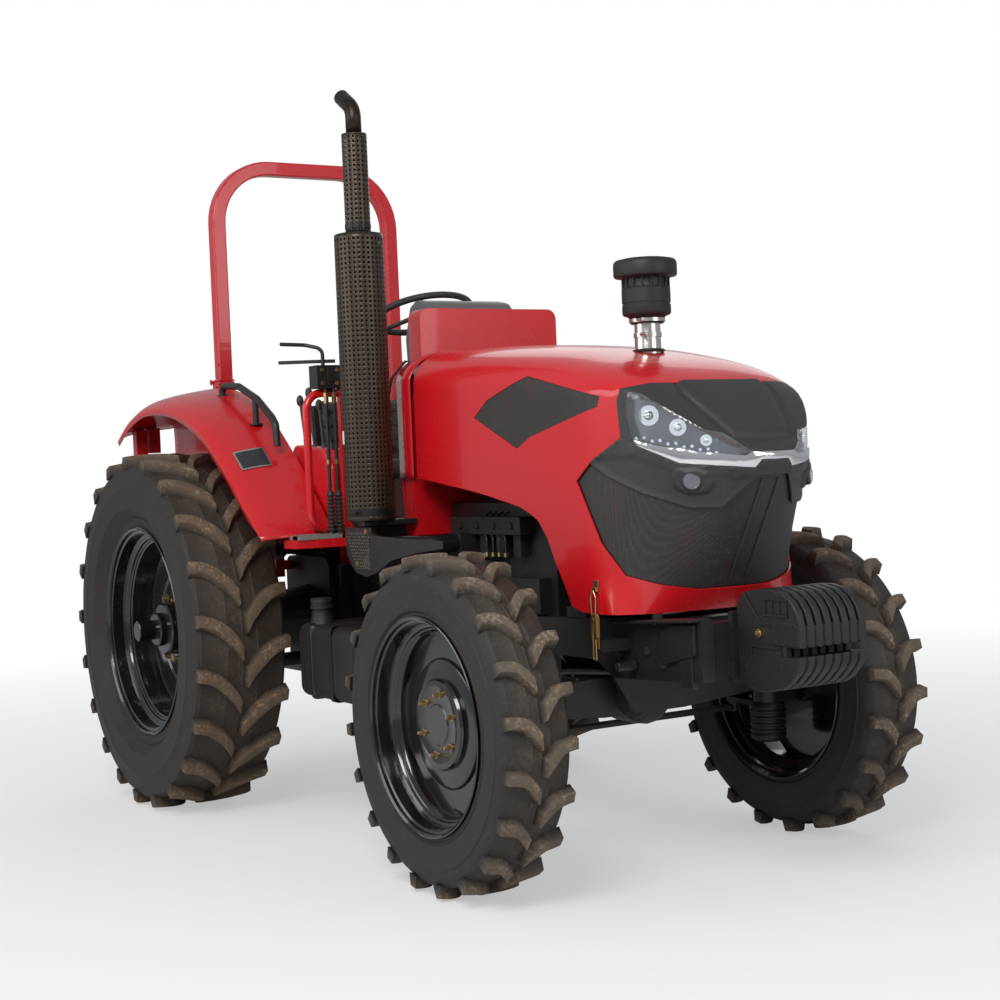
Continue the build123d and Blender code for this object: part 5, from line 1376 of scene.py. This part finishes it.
plate_black = finish("plate_black", (0.03, 0.035, 0.045), 0.25, dust=0.1, shade=0.1, metallic=0.3)
for name, inset, lift, material, slot_name in (("data_plate_frame", 0.0, 2.0, stainless, "bright_trim"),
                                               ("data_plate_face", 0.11, 2.8, plate_black, "black_paint")):
    bm = bmesh.new()
    made = bmesh.ops.create_grid(bm, x_segments=6, y_segments=4, size=0.5)
    for vert in made["verts"]:
        along = 0.229 + 0.070 * (0.5 + vert.co.y * (1 - 1.6 * inset))
        out = 690.0 + 118.0 * vert.co.x * (1 - inset)
        vert.co = fender_point(along, out, -1, lift * 2.4)
    new_piece(name, bm, material, "root")
bm = bmesh.new()
for hand in (-1, 1):
    for y in (640.0, 700.0):
        place = fender_point(0.985, y, hand)
        add_block(bm, place + Vector((-0.018, -0.026, -0.115)), place + Vector((0.030, 0.026, -0.006)))
lamp_red = finish("rear_lamp_red", (0.45, 0.01, 0.01), 0.12, dust=0.1, shade=0.05)
tail_lamps = new_piece("tail_lamps", bm, lamp_red, "root", bevel=0.003)
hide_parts("rear_lamps")

# Cowl and dashboard
# The red cowl carries on the hood's curve behind a rubber seal, with the instrument shroud above
# it. The grey instrument dome faces the driver, with three blank dials.


def raise_plate(bm, ring, rise):
    """A flat plate from a ring of points in metres, thickened by a rise in metres."""
    face = bm.faces.new([bm.verts.new(point) for point in ring])
    raised = bmesh.ops.extrude_face_region(bm, geom=[face])
    verts = [item for item in raised["geom"] if isinstance(item, bmesh.types.BMVert)]
    bmesh.ops.translate(bm, verts=verts, vec=rise)


def plate(bm, outline, low, high, hand=1):
    """A flat plate from (ahead, height) points, between two distances out from the middle."""
    raise_plate(bm, [spot(x, hand * low, z) for x, z in outline], (0, hand * (high - low) / 1000, 0))


def cross_plate(bm, outline, low, high, hand=1):
    """A flat plate from (sideways, height) points, between two distances ahead, in millimetres."""
    raise_plate(bm, [spot(low, hand * y, z) for y, z in outline], ((high - low) / 1000, 0, 0))


def flat_plate(bm, outline, low, high, hand=1):
    """A flat plate from (ahead, sideways) points, between two heights, in millimetres."""
    raise_plate(bm, [spot(x, hand * y, low) for x, y in outline], (0, 0, (high - low) / 1000))


def round_edges(bm, radius, segments):
    """Rounds every edge of a form, with a radius in metres."""
    bmesh.ops.bevel(bm, geom=bm.edges[:], offset=radius, segments=segments, profile=0.5, affect="EDGES",
                    material=-1)


def arch_band(bm, near, distant, inset, rows=44):
    """A strip that follows the rear of the hood's arch between two distances ahead."""
    half = hood_half - inset
    made = bmesh.ops.create_grid(bm, x_segments=2, y_segments=2 * rows, size=0.5)
    for vert in made["verts"]:
        share = vert.co.y * 2
        angle = abs(share) * pi / 2
        y = half * sin(min(angle * 1.45, pi / 2))
        if angle * 1.45 <= pi / 2:
            z = arch_height(hood_rear, y, inset)
        else:
            edge = arch_height(hood_rear, half, inset)
            z = edge + (1277.0 - edge) * (angle * 1.45 - pi / 2) / (pi / 2 * 0.45)
        x = near + (distant - near) * (vert.co.x + 0.5)
        vert.co = spot(x, y if share >= 0 else -y, z)


bm = bmesh.new()
arch_band(bm, 1160.0, 1260.0, 3.0)
cowl_band = new_piece("cowl_arch", bm, red_paint, "root", angle=40.0)
sheet_wall(cowl_band, 0.004, offset=0.0)
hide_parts("cowl")
bm = bmesh.new()
arch_band(bm, 1262.0, 1289.0, 40.0)
seal = new_piece("hood_seal", bm, rubber, "root", angle=40.0)
sheet_wall(seal, 0.012, offset=0.0)

bm = bmesh.new()
shroud = [(-293, 1300), (-293, 1885), (293, 1885), (293, 1300)]
cross_plate(bm, shroud, 1150, 1235)
upright = [edge for edge in bm.edges if abs(edge.verts[0].co.x - edge.verts[1].co.x) > 0.05
           and min(vert.co.z for vert in edge.verts) > 1.5]
bmesh.ops.bevel(bm, geom=upright, offset=0.036, segments=6, profile=0.5, affect="EDGES", material=-1)
rear = [face for face in bm.faces if face.calc_center_median().x < spot(1151, 0, 0).x]
bmesh.ops.delete(bm, geom=rear, context="FACES")
shroud_piece = new_piece("dash_shroud", bm, red_paint, "root", angle=30.0)
sheet_wall(shroud_piece, 0.004)
rounding = shroud_piece.modifiers.new("rounded_edges", "BEVEL")
rounding.width = 0.006
rounding.segments = 3
rounding.limit_method = "ANGLE"
rounding.angle_limit = radians(50)

bm = bmesh.new()
for hand in (-1, 1):
    plate(bm, [(1160, 1290), (1150.4, 1071), (1235, 1071), (1235, 1300), (1160, 1300)], 336, 342, hand)
    cross_plate(bm, [(286, 1071), (340, 1071), (350, 1277), (352, 1480), (346, 1560), (320, 1640),
                     (286, 1660)], 1152, 1158, hand)
cross_plate(bm, [(340, 1071), (352, 1277), (352, 1520), (300, 1660), (-300, 1660), (-352, 1520),
                 (-352, 1277), (-340, 1071)], 1235, 1241)
add_block(bm, spot(1100, -275, 1070.5), spot(1240, 275, 1078))
new_piece("cowl_bulkhead", bm, red_paint, "root", bevel=0.001)
bm = bmesh.new()
for hand in (-1, 1):
    plate(bm, [(1241, 1612), (1317, 1612), (1317, 1712), (1311, 1722), (1299, 1722), (1293, 1708),
               (1280, 1698), (1241, 1698)], 114, 122, hand)
    add_rod(bm, spot(1305, hand * 92, 1712), spot(1305, hand * 122, 1712), 8.0, 20)
new_piece("hood_hinge_brackets", bm, black_paint, "root", bevel=0.0008)

bm = bmesh.new()
plate(bm, [(1149, 1480), (1149, 1862), (1092, 1922), (1010, 1938), (962, 1918), (918, 1800), (938, 1500)],
      -186, 186)
round_edges(bm, 0.018, 4)
add_block(bm, spot(1149, -186, 1600), spot(1230, 186, 1840))
dash = new_piece("instrument_dome", bm, grey_plastic, "root", angle=30.0)
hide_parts("dashboard")
dial_face = finish("dial_face", (0.012, 0.012, 0.014), 0.25, dust=0.05, shade=0.05)
bm = bmesh.new()
slope = Vector((962 - 918, 0, 1918 - 1800)).normalized()
facing = Vector((-slope.z, 0, slope.x))
for y, radius in ((0.0, 44.0), (-96.0, 36.0), (96.0, 36.0)):
    middle = spot(940, y, 1859)
    add_rod(bm, middle - facing * 0.006, middle + facing * 0.003, radius, 36)
    add_rod(bm, middle + facing * 0.003, middle + facing * 0.006, radius, 36, tip=radius - 4)
new_piece("dials", bm, dial_face, "root")

# Steering wheel
# A moulded black rim on three tapered spokes with a plain round hub, in fine-grained plastic. It
# sits square on the raked column, which is left as it came in the frame.

hub_turn = Matrix.Rotation(radians(-17.6), 4, "Y")
hub_place = Matrix.Translation(spot(738, 0, 1913)) @ hub_turn
bm = bmesh.new()
ring_circle = bmesh.ops.create_circle(bm, cap_ends=False, segments=16, radius=0.0128)
bmesh.ops.transform(bm, matrix=Matrix.Translation((0.188, 0, 0)) @ Matrix.Rotation(pi / 2, 4, "X"),
                    verts=ring_circle["verts"])
bmesh.ops.spin(bm, geom=bm.verts[:] + bm.edges[:], cent=(0, 0, 0), axis=(0, 0, 1), dvec=(0, 0, 0),
               angle=2 * pi, steps=56, use_merge=True, use_duplicate=False)
for turned_by in (90, 210, 330):
    way = Vector((cos(radians(turned_by)), sin(radians(turned_by)), 0))
    add_rod(bm, way * 0.030, way * 0.182, 10.0, 12, tip=8.0)
hub_made = bmesh.ops.create_cone(bm, cap_ends=True, segments=32, radius1=0.036, radius2=0.030, depth=0.040)
bmesh.ops.translate(bm, verts=hub_made["verts"], vec=(0, 0, -0.005))
bmesh.ops.transform(bm, matrix=hub_place, verts=bm.verts)
wheel_piece = new_piece("steering_wheel_rim", bm, textured_plastic, "steering_wheel",
                        angle=40.0)
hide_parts("steering_wheel")

# Front weights
# Eight cast iron suitcase weights hung side by side on the front carrier, in black. Each has
# rounded fins above, a hand slot half way down and a close-set rounded foot.

fin_line = [(2740, 876), (2752, 898), (2773, 911), (2800, 921), (2835, 926), (2890, 927), (2940, 918),
            (2976, 898), (3000, 868), (3012, 830), (3013, 766), (2950, 764), (2950, 736), (3013, 742),
            (3008, 716), (2990, 690), (2960, 662), (2930, 645), (2880, 634), (2823, 630), (2780, 640),
            (2740, 657)]
weight_pitch = 32.0
bm = bmesh.new()
for number in range(8):
    low = weight_pitch * (number - 3.5) - 12.0
    plate(bm, fin_line, low, low + 24.0)
fins = new_piece("suitcase_weights", bm, casting_paint, "root", angle=40.0, bevel=0.0045,
                 segments=3)
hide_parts("front_weights")
bm = bmesh.new()
for number in range(8):
    low = weight_pitch * (number - 3.5) - 15.6
    plate(bm, [(2900, 768), (3010, 769), (3010, 826), (2990, 836), (2900, 836)], low, low + 31.2)
    plate(bm, [(2748, 660), (2823, 633), (2880, 637), (2928, 648), (2986, 692), (3004, 718), (3009, 739),
               (2748, 733)], low, low + 31.2)
new_piece("weight_feet", bm, casting_paint, "root", angle=40.0, bevel=0.003, segments=2)
bm = bmesh.new()
cheek = 124.0
for hand in (-1, 1):
    plate(bm, [(2772, 909), (2780, 915), (2850, 833), (2990, 828), (2990, 820), (2842, 824)], cheek,
          cheek + 5, hand)
    for x in (2800, 2925):
        plate(bm, [(x, 686), (x + 8, 686), (x + 8, 762), (x, 762)], cheek, cheek + 4, hand)
    for z in (682, 758):
        plate(bm, [(2800, z), (2933, z), (2933, z + 8), (2800, z + 8)], cheek, cheek + 4, hand)
    for x in (2868, 2898, 2928, 2958):
        plate(bm, [(x, 858), (x + 6, 858), (x + 6, 898), (x, 898)], cheek, cheek + 4, hand)
    for z in (850, 896):
        plate(bm, [(2862, z), (2966, z), (2966, z + 7), (2862, z + 7)], cheek, cheek + 5, hand)
new_piece("weight_cheeks", bm, casting_paint, "root", angle=40.0, bevel=0.0012)
bm = bmesh.new()
for hand in (-1, 1):
    add_rod(bm, spot(2846, hand * cheek, 801), spot(2846, hand * 134, 801), 13.0, 6)
    add_rod(bm, spot(2846, hand * 134, 801), spot(2846, hand * 142, 801), 7.0, 16)
    add_rod(bm, spot(2770, hand * 60, 706), spot(2770, hand * 60, 720), 8.0, 12)
new_piece("weight_bolts", bm, zinc, "root", bevel=0.0008)

# Hood latches
# Over-centre toggle latches in yellow zinc, one each side: a wire loop over a hook on the hood's
# foot, drawn down by a pressed lever on the frame.

bm = bmesh.new()
for hand in (-1, 1):
    y = hand * 371
    plate(bm, [(2350, 745), (2386, 745), (2390, 842), (2380, 852), (2356, 852), (2346, 842)], 364, 367,
          hand)
    plate(bm, [(2352, 780), (2360, 770), (2366, 850), (2356, 850)], 367, 374, hand)
    plate(bm, [(2376, 770), (2384, 780), (2382, 850), (2372, 850)], 367, 374, hand)
    add_rod(bm, spot(2368, hand * 364, 832), spot(2368, hand * 375, 832), 6.0, 16)
    loop = rounded_route([spot(2360, y, 836), spot(2356, y, 900), spot(2368, y, 932), spot(2382, y, 900),
                          spot(2376, y, 836)], 9.0, 4)
    sweep(bm, loop, 3.0, 10)
    handle = rounded_route([spot(2362, y, 800), spot(2360, y, 712), spot(2376, y, 712),
                            spot(2374, y, 800)], 6.0, 3)
    sweep(bm, handle, 3.2, 10)
latch = new_piece("toggle_latches", bm, zinc, "root", angle=40.0, bevel=0.0006)
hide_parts("hood_latches")
bm = bmesh.new()
for hand in (-1, 1):
    add_block(bm, spot(2364, hand * 360.4, 918), spot(2386, hand * 372, 930))
    add_block(bm, spot(2362, hand * 360.4, 930), spot(2388, hand * 363.5, 952))
new_piece("latch_hooks", bm, zinc, "hood", bevel=0.0008)

# Controls beside the driver
# A red post and D-shaped grab guard each side of the platform. On the right the guard shelters two
# black control rods with ribbed boots, under a bolted valve block with a cranked handle on top.

post_out = 461
rod_x = 978
rod_rows = (-520, -552)
lever_row = -478
bm = bmesh.new()
for hand in (-1, 1):
    add_block(bm, spot(938, hand * 432, 1070.5), spot(962, hand * 490, 1660))
    flat = rounded_route([spot(950, hand * 482, 1600), spot(950, hand * 620, 1600),
                          spot(950, hand * 620, 1105), spot(950, hand * 482, 1105)], 62.0, 8)
    sweep(bm, flat, 15.0, 20)
    add_block(bm, spot(930, hand * 426, 1070.5), spot(970, hand * 496, 1081))
    add_rod(bm, spot(944, hand * post_out, 1655), spot(956, hand * post_out, 1655), 34.0, 32)
guards = new_piece("grab_guards", bm, red_paint, "root", angle=40.0, bevel=0.003)
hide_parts("side_posts")
bm = bmesh.new()
add_block(bm, spot(922, -590, 1616), spot(988, -491, 1700))
add_block(bm, spot(972, -548, 1640), spot(992, -512, 1690))
for y in rod_rows:
    add_rod(bm, spot(rod_x, y, 1240), spot(rod_x, y, 1620), 6.5, 16)
cranked = rounded_route([spot(950, -545, 1700), spot(950, -545, 1762), spot(915, -600, 1778),
                         spot(900, -690, 1782)], 30.0, 5)
sweep(bm, cranked, 7.0, 14)
shelf = rounded_route([spot(960, -500, 1716), spot(940, -560, 1716), spot(880, -690, 1716)], 20.0, 4)
sweep(bm, shelf, 9.0, 4, spin=pi / 4)
linkage = new_piece("valve_block", bm, black_paint, "root", angle=40.0, bevel=0.002)
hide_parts("control_linkage")
bm = bmesh.new()
for y in rod_rows:
    profile = [(0.0, 1072.0)]
    for number in range(11):
        height = 1080 + number * 14
        profile += [(10.0, height), (15.5, height + 7)]
    profile += [(9.0, 1242.0), (0.0, 1242.0)]
    turn_upright(bm, profile, 20, spot(rod_x, y, 0))
new_piece("lever_boots", bm, rubber, "root", angle=50.0)
bm = bmesh.new()
for y in (-568, -512):
    for z in (1634, 1682):
        add_rod(bm, spot(988, y, z), spot(994, y, z), 8.0, 6)
for y in rod_rows:
    add_rod(bm, spot(rod_x, y, 1560), spot(rod_x, y, 1600), 10.0, 6)
    add_rod(bm, spot(rod_x, y, 1340), spot(rod_x, y, 1356), 9.0, 6)
new_piece("valve_fittings", bm, zinc, "root", bevel=0.0008)
bm = bmesh.new()
for hand in (-1, 1):
    add_rod(bm, spot(956, hand * post_out, 1655), spot(960, hand * post_out, 1655), 22.0, 28)
new_piece("post_reflectors", bm, grey_plastic, "root", bevel=0.001)

bm = bmesh.new()
plate(bm, [(560, 1071), (920, 1071), (920, 1330), (860, 1400), (600, 1420), (560, 1380)], 440, 514, -1)
round_edges(bm, 0.014, 4)
console = new_piece("lever_console_cover", bm, red_paint, "root", angle=30.0)
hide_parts("lever_console")
bm = bmesh.new()
for x, lean, top in ((640, -40, 1585), (710, -30, 1610), (790, -26, 1560), (850, -20, 1530)):
    add_rod(bm, spot(x, lever_row, 1385), spot(x + lean, lever_row, top), 5.5, 12)
    add_rod(bm, spot(x, lever_row, 1396), spot(x, lever_row, 1420), 16.0, 20, tip=8.0)
    knob = bmesh.ops.create_uvsphere(bm, u_segments=20, v_segments=12, radius=0.014)
    bmesh.ops.transform(bm, matrix=Matrix.Translation(spot(x + lean * 1.05, lever_row, top + 4))
                        @ Matrix.Diagonal((1, 1, 1.6, 1)), verts=knob["verts"])
new_piece("control_levers", bm, textured_plastic, "root", angle=40.0)

# Platform and side screens
# A folded red steel platform with grey rubber step pads and a black deck mat. Clear screens in a
# rubber edge close the gap beside the hood, held by lugs with yellow zinc bolts.

bm = bmesh.new()
for hand in (-1, 1):
    flat_plate(bm, [(912, 520), (1000, 520), (1000, 694), (912, 694)], 1070.4, 1086, hand)
    for number in range(7):
        y = 535 + 22 * number
        flat_plate(bm, [(918, y), (994, y), (994, y + 10), (918, y + 10)], 1085, 1088.5, hand)
new_piece("step_pads", bm, grey_rubber, "root", bevel=0.0015)
bm = bmesh.new()
flat_plate(bm, [(570, -430), (1090, -370), (1090, 370), (570, 430)], 1070.4, 1076)
for number in range(17):
    x = 590 + 30 * number
    flat_plate(bm, [(x, -400), (x + 14, -400), (x + 14, 400), (x, 400)], 1075.5, 1078.5)
new_piece("deck_mat", bm, rubber, "root", bevel=0.001)

screen_line = [(289, 1092), (396, 1092), (400, 1500), (370, 1638), (310, 1700), (289, 1700)]
bm = bmesh.new()
for hand in (-1, 1):
    cross_plate(bm, screen_line, 1144.5, 1148.5, hand)
glass = new_piece("side_screen_panels", bm, panel_clear, "root")
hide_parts("side_screens")
bm = bmesh.new()
for hand in (-1, 1):
    edge_route = [spot(1146.5, hand * y, z) for y, z in screen_line]
    sweep(bm, edge_route + [edge_route[0]], 4.5, 8, cap=True)
new_piece("screen_edging", bm, rubber, "root", angle=50.0)
lug_out = 392
lug_heights = (1180, 1545)
bm = bmesh.new()
for hand in (-1, 1):
    for z in lug_heights:
        add_rod(bm, spot(1141, hand * lug_out, z), spot(1150, hand * lug_out, z), 15.0, 24)
new_piece("screen_lugs", bm, red_paint, "root", bevel=0.001)
bm = bmesh.new()
for hand in (-1, 1):
    for z in lug_heights:
        add_rod(bm, spot(1150, hand * lug_out, z), spot(1156, hand * lug_out, z), 8.0, 6)
        add_rod(bm, spot(1135, hand * lug_out, z), spot(1141, hand * lug_out, z), 8.0, 6)
new_piece("screen_bolts", bm, zinc, "root", bevel=0.0006)

# Elbow guard
# A black expanded-mesh plate with a plain border that shields the exhaust elbow over the front
# wheel, with a long arm to the front and yellow zinc bolts. The elbow itself is sooted pipe.

elbow_line = [(1100, 1112), (1100, 1052), (1112, 1010), (1140, 975), (1180, 950), (1250, 938),
              (1330, 955), (1440, 1000), (1620, 1030), (1800, 1048), (1800, 1072), (1480, 1078),
              (1300, 1086), (1300, 1112)]
bm = bmesh.new()
plate(bm, elbow_line, 556, 560, -1)
elbow_plate = new_piece("elbow_guard_plate", bm, black_paint, "root", bevel=0.001)
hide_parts("exhaust_elbow")
bm = bmesh.new()
for number in range(15):
    for lean in (-1, 1):
        x = 1106 + 14 * number
        start = Vector((x, 1094.0))
        end = Vector((x + lean * 80, 1094.0 - 130.0))
        clip = [start + (end - start) * step / 60 for step in range(61)]
        inside = [place for place in clip if line_gap(elbow_line, place) > 12.0 and place.x < 1288]
        if len(inside) > 3:
            add_rod(bm, spot(inside[0].x, -561.0, inside[0].y), spot(inside[-1].x, -561.0, inside[-1].y),
                    2.2, 6)
new_piece("elbow_guard_mesh", bm, greased_steel, "root")
bm = bmesh.new()
for x, z in ((1272, 1098), (1200, 985)):
    add_rod(bm, spot(x, -560, z), spot(x, -568, z), 9.0, 6)
new_piece("elbow_guard_bolts", bm, zinc, "root", bevel=0.0008)
bm = bmesh.new()
elbow = rounded_route([spot(stack_x, stack_y, 1134), spot(stack_x, stack_y, 1045),
                       spot(1435, -400, 1045), spot(1435, -300, 1045)], 60.0, 8)
sweep(bm, elbow, 32.0, 24)
turn_upright(bm, ((0, 1112), (58, 1112), (74, 1134), (0, 1134)), 32, stack_foot)
new_piece("exhaust_elbow_pipe", bm, sooted_steel, "root", angle=40.0)
bm = bmesh.new()
add_block(bm, spot(1150.4, -470, 1040), spot(1160, -345, 1134))
add_block(bm, spot(1150.4, -560, 1116), spot(1250, -345, 1134))
new_piece("stack_bracket", bm, black_paint, "root", bevel=0.002)

# Fuel tank
# A matt black moulded tank slung beside the transmission, with a raised seam, two straps and a
# ribbed filler cap on its rear corner.

bm = bmesh.new()
add_block(bm, spot(770, -620, 484), spot(1350, -330, 757))
round_edges(bm, 0.042, 6)
tank = new_piece("moulded_tank", bm, tank_plastic, "root", angle=30.0)
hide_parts("fuel_tank")
bm = bmesh.new()
for x in (880, 1230):
    add_block(bm, spot(x, -624, 480.5), spot(x + 34, -327, 760.5))
add_block(bm, spot(1052, -622, 483), spot(1064, -329, 758))
round_edges(bm, 0.020, 3)
new_piece("tank_straps", bm, black_paint, "root", angle=35.0)
bm = bmesh.new()
turn_upright(bm, ((0, 755), (46, 755), (42, 770), (38, 790), (38, 800), (34, 804), (34, 810), (43, 812),
                  (43, 822), (39, 826), (39, 832), (42, 834), (42, 846), (38, 850), (0, 850)), 36,
             spot(880, -560, 0))
new_piece("filler_cap", bm, tank_plastic, "root", angle=40.0)

# Engine bay
# What shows between the hood and the front wheel: injection pipes, hoses and two spin-on filters
# on the side of the cast block, all dusty black with a few bright unions.

pump_outlets = (1585, 1625, 1665, 1705)
filter_places = (1430, 1540)
bm = bmesh.new()
for hand in (-1, 1):
    for x in pump_outlets:
        rise = rounded_route([spot(x, hand * 262, 1000), spot(x, hand * 262, 1060),
                              spot(x - 60, hand * 246, 1120), spot(x - 70, hand * 200, 1150)], 22.0, 5)
        sweep(bm, rise, 3.5, 10)
    hose = rounded_route([spot(1890, hand * 200, 1120), spot(1990, hand * 240, 1150),
                          spot(2070, hand * 180, 1200)], 50.0, 6)
    sweep(bm, hose, 24.0, 20)
    low_hose = rounded_route([spot(1340, hand * 262, 690), spot(1500, hand * 262, 655),
                              spot(1690, hand * 250, 720)], 60.0, 6)
    sweep(bm, low_hose, 11.0, 14)
for x in (1390, 1500, 1610, 1720):
    add_rod(bm, spot(x + 23, -262, 1105), spot(x + 23, -268, 1105), 13.0, 6)
new_piece("engine_pipes", bm, black_paint, "root", angle=40.0)
bm = bmesh.new()
for x in filter_places:
    add_rod(bm, spot(x, -245, 992), spot(x, -245, 1008), 12.0, 6)
for x in pump_outlets:
    add_rod(bm, spot(x, -262, 1000), spot(x, -262, 1014), 8.0, 6)
for z in (1010, 900, 780, 650):
    add_rod(bm, spot(1276, -256, z), spot(1266, -256, z), 10.0, 6)
new_piece("engine_unions", bm, zinc, "root", bevel=0.0006)
bm = bmesh.new()
for x in filter_places:
    turn_upright(bm, ((0, 800), (40.5, 800), (45.5, 806), (45.5, 965), (47.5, 967), (47.5, 985), (0, 985)),
                 32, spot(x, -245, 0))
new_piece("spin_on_filters", bm, tank_plastic, "root", angle=40.0)

# Seat
# A stuffed black vinyl cushion and backrest on a pressed steel pan, crowned in the middle and drawn
# in by sewn channels. Both are swollen by a short cloth simulation inside a slightly smaller form.


def stuffed(name, start, cap, seams):
    """A padded piece, swollen by pressure within a cap in metres, then drawn in along its seams."""
    mesh = bpy.data.meshes.new(name)
    bmesh.ops.recalc_face_normals(start, faces=start.faces)
    start.to_mesh(mesh)
    start.free()
    pad = bpy.data.objects.new(name, mesh)
    scene.collection.objects.link(pad)
    voxels = pad.modifiers.new("remesh", "REMESH")
    voxels.mode = "VOXEL"
    voxels.voxel_size = 0.006
    graph = bpy.context.evaluated_depsgraph_get()
    plain = bpy.data.meshes.new_from_object(pad.evaluated_get(graph))
    pad.modifiers.clear()
    pad.data = plain
    before = [vert.co.copy() for vert in plain.vertices]
    cloth = pad.modifiers.new("cloth", "CLOTH")
    cloth.settings.use_pressure = True
    cloth.settings.uniform_pressure_force = 4.0
    cloth.settings.effector_weights.gravity = 0.0
    for number in range(1, 21):
        scene.frame_set(number)
    graph = bpy.context.evaluated_depsgraph_get()
    swollen = bpy.data.meshes.new_from_object(pad.evaluated_get(graph))
    pad.modifiers.clear()
    scene.frame_set(1)
    pad.data = swollen
    for vert, old in zip(pad.data.vertices, before):
        shift = vert.co - old
        if shift.length > cap:
            vert.co = old + shift * cap / shift.length
        vert.co += seams(old)
    for face in pad.data.polygons:
        face.use_smooth = True
    pad.data.materials.clear()
    pad.data.materials.append(vinyl)
    finer = pad.modifiers.new("smooth", "SUBSURF")
    finer.levels = 1
    finer.render_levels = 1
    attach(pad, "root")
    return pad


def sewn_depth(across):
    """Depth of a sewn channel at a distance across it, in metres."""
    return 0.006 * 2.718 ** (-(across / 0.007) ** 2)


def cushion_seams(place):
    """Sewn channels along the seat, and a welt across its front."""
    if place.z < spot(0, 0, 1300).z:
        return Vector((0, 0, 0))
    drop = 0.0
    for y in (-0.12, 0.0, 0.12):
        drop += sewn_depth(place.y - y)
    drop += sewn_depth(place.x - spot(470, 0, 0).x)
    return Vector((0, 0, -drop))


def back_seams(place):
    """Sewn channels across the backrest."""
    if place.x < spot(160, 0, 0).x:
        return Vector((0, 0, 0))
    draw = 0.0
    for z in (1.43, 1.49, 1.55):
        draw += sewn_depth(place.z - z)
    return Vector((-draw, 0, 0))


bm = bmesh.new()
plate(bm, [(172, 1286), (548, 1286), (550, 1318), (528, 1346), (204, 1338), (174, 1322)], -204, 204)
round_edges(bm, 0.012, 3)
cushion = stuffed("seat_cushion_pad", bm, 0.010, cushion_seams)
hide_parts("seat_cushion")
bm = bmesh.new()
plate(bm, [(150, 1376), (200, 1378), (176, 1590), (150, 1616), (134, 1600), (140, 1480)], -192, 192)
round_edges(bm, 0.010, 3)
stuffed("backrest_pad", bm, 0.009, back_seams)

# Front axle ends
# Upright final-drive cases at the ends of the driven front axle: ribbed black castings round the
# kingpin that turn with the wheel, each with a bolted cover on top.

for hand, word in ((-1, "right"), (1, "left")):
    bm = bmesh.new()
    foot = spot(front_axle_ahead, hand * kingpin_out, 0)
    profile = [(0, 318), (40, 320), (58, 330), (62, 344)]
    for number in range(4):
        height = 352 + 22 * number
        profile += [(58, height), (63, height + 4), (63, height + 10), (58, height + 14)]
    profile += [(58, 448), (52, 456), (0, 456)]
    turn_upright(bm, profile, 36, foot)
    turn_upright(bm, ((0, 664), (40, 664), (44, 670), (44, 682), (30, 690), (0, 690)), 32, foot)
    new_piece("final_drive_case_" + word, bm, casting_paint, "knuckle_" + word, angle=40.0)
    bm = bmesh.new()
    for number in range(6):
        way = 2 * pi * number / 6
        out = Vector((cos(way), sin(way), 0)) * 0.034
        add_rod(bm, foot + out + Vector((0, 0, 0.681)), foot + out + Vector((0, 0, 0.690)), 5.5, 6)
    new_piece("kingpin_bolts_" + word, bm, zinc, "knuckle_" + word)

# Axle beam and frame fittings
# Ribs, bolts and hydraulic hoses round the black cast beam, greasy and dusty, and the plates of
# the front frame that carry the weights.

bm = bmesh.new()
for hand in (-1, 1):
    for x in (1999, 2096):
        cross_plate(bm, [(180, 512), (500, 520), (500, 532), (180, 540)], x - 2, x + 6, hand)
    for y in (250, 400):
        add_block(bm, spot(2004, hand * y, 611), spot(2096, hand * (y + 12), 622))
    hose = rounded_route([spot(2120, hand * 60, 640), spot(2170, hand * 180, 640),
                          spot(2150, hand * 330, 655), spot(2110, hand * 450, 640)], 50.0, 6)
    sweep(bm, hose, 9.0, 12)
new_piece("axle_beam_fittings", bm, black_paint, "root", angle=40.0, bevel=0.001)
bm = bmesh.new()
for hand in (-1, 1):
    for x, z in ((1760, 745), (1860, 745), (2330, 715), (2480, 735), (2650, 750), (2560, 700)):
        add_rod(bm, spot(x, hand * 255, z), spot(x, hand * 264, z), 13.0, 6)
new_piece("frame_bolts", bm, greased_steel, "root", bevel=0.001)
bm = bmesh.new()
for hand in (-1, 1):
    plate(bm, [(2560, 700), (2720, 740), (2720, 828), (2620, 822), (2560, 800)], 255, 268, hand)
    add_block(bm, spot(2640, hand * 262, 640), spot(2700, hand * 240, 760))
    plate(bm, [(2330, 812), (2738, 838), (2738, 846), (2330, 822)], 220, 300, hand)
    add_rod(bm, spot(2420, hand * 262, 690), spot(2420, hand * 330, 690), 14.0, 20)
new_piece("frame_carrier", bm, black_paint, "root", angle=40.0, bevel=0.002)
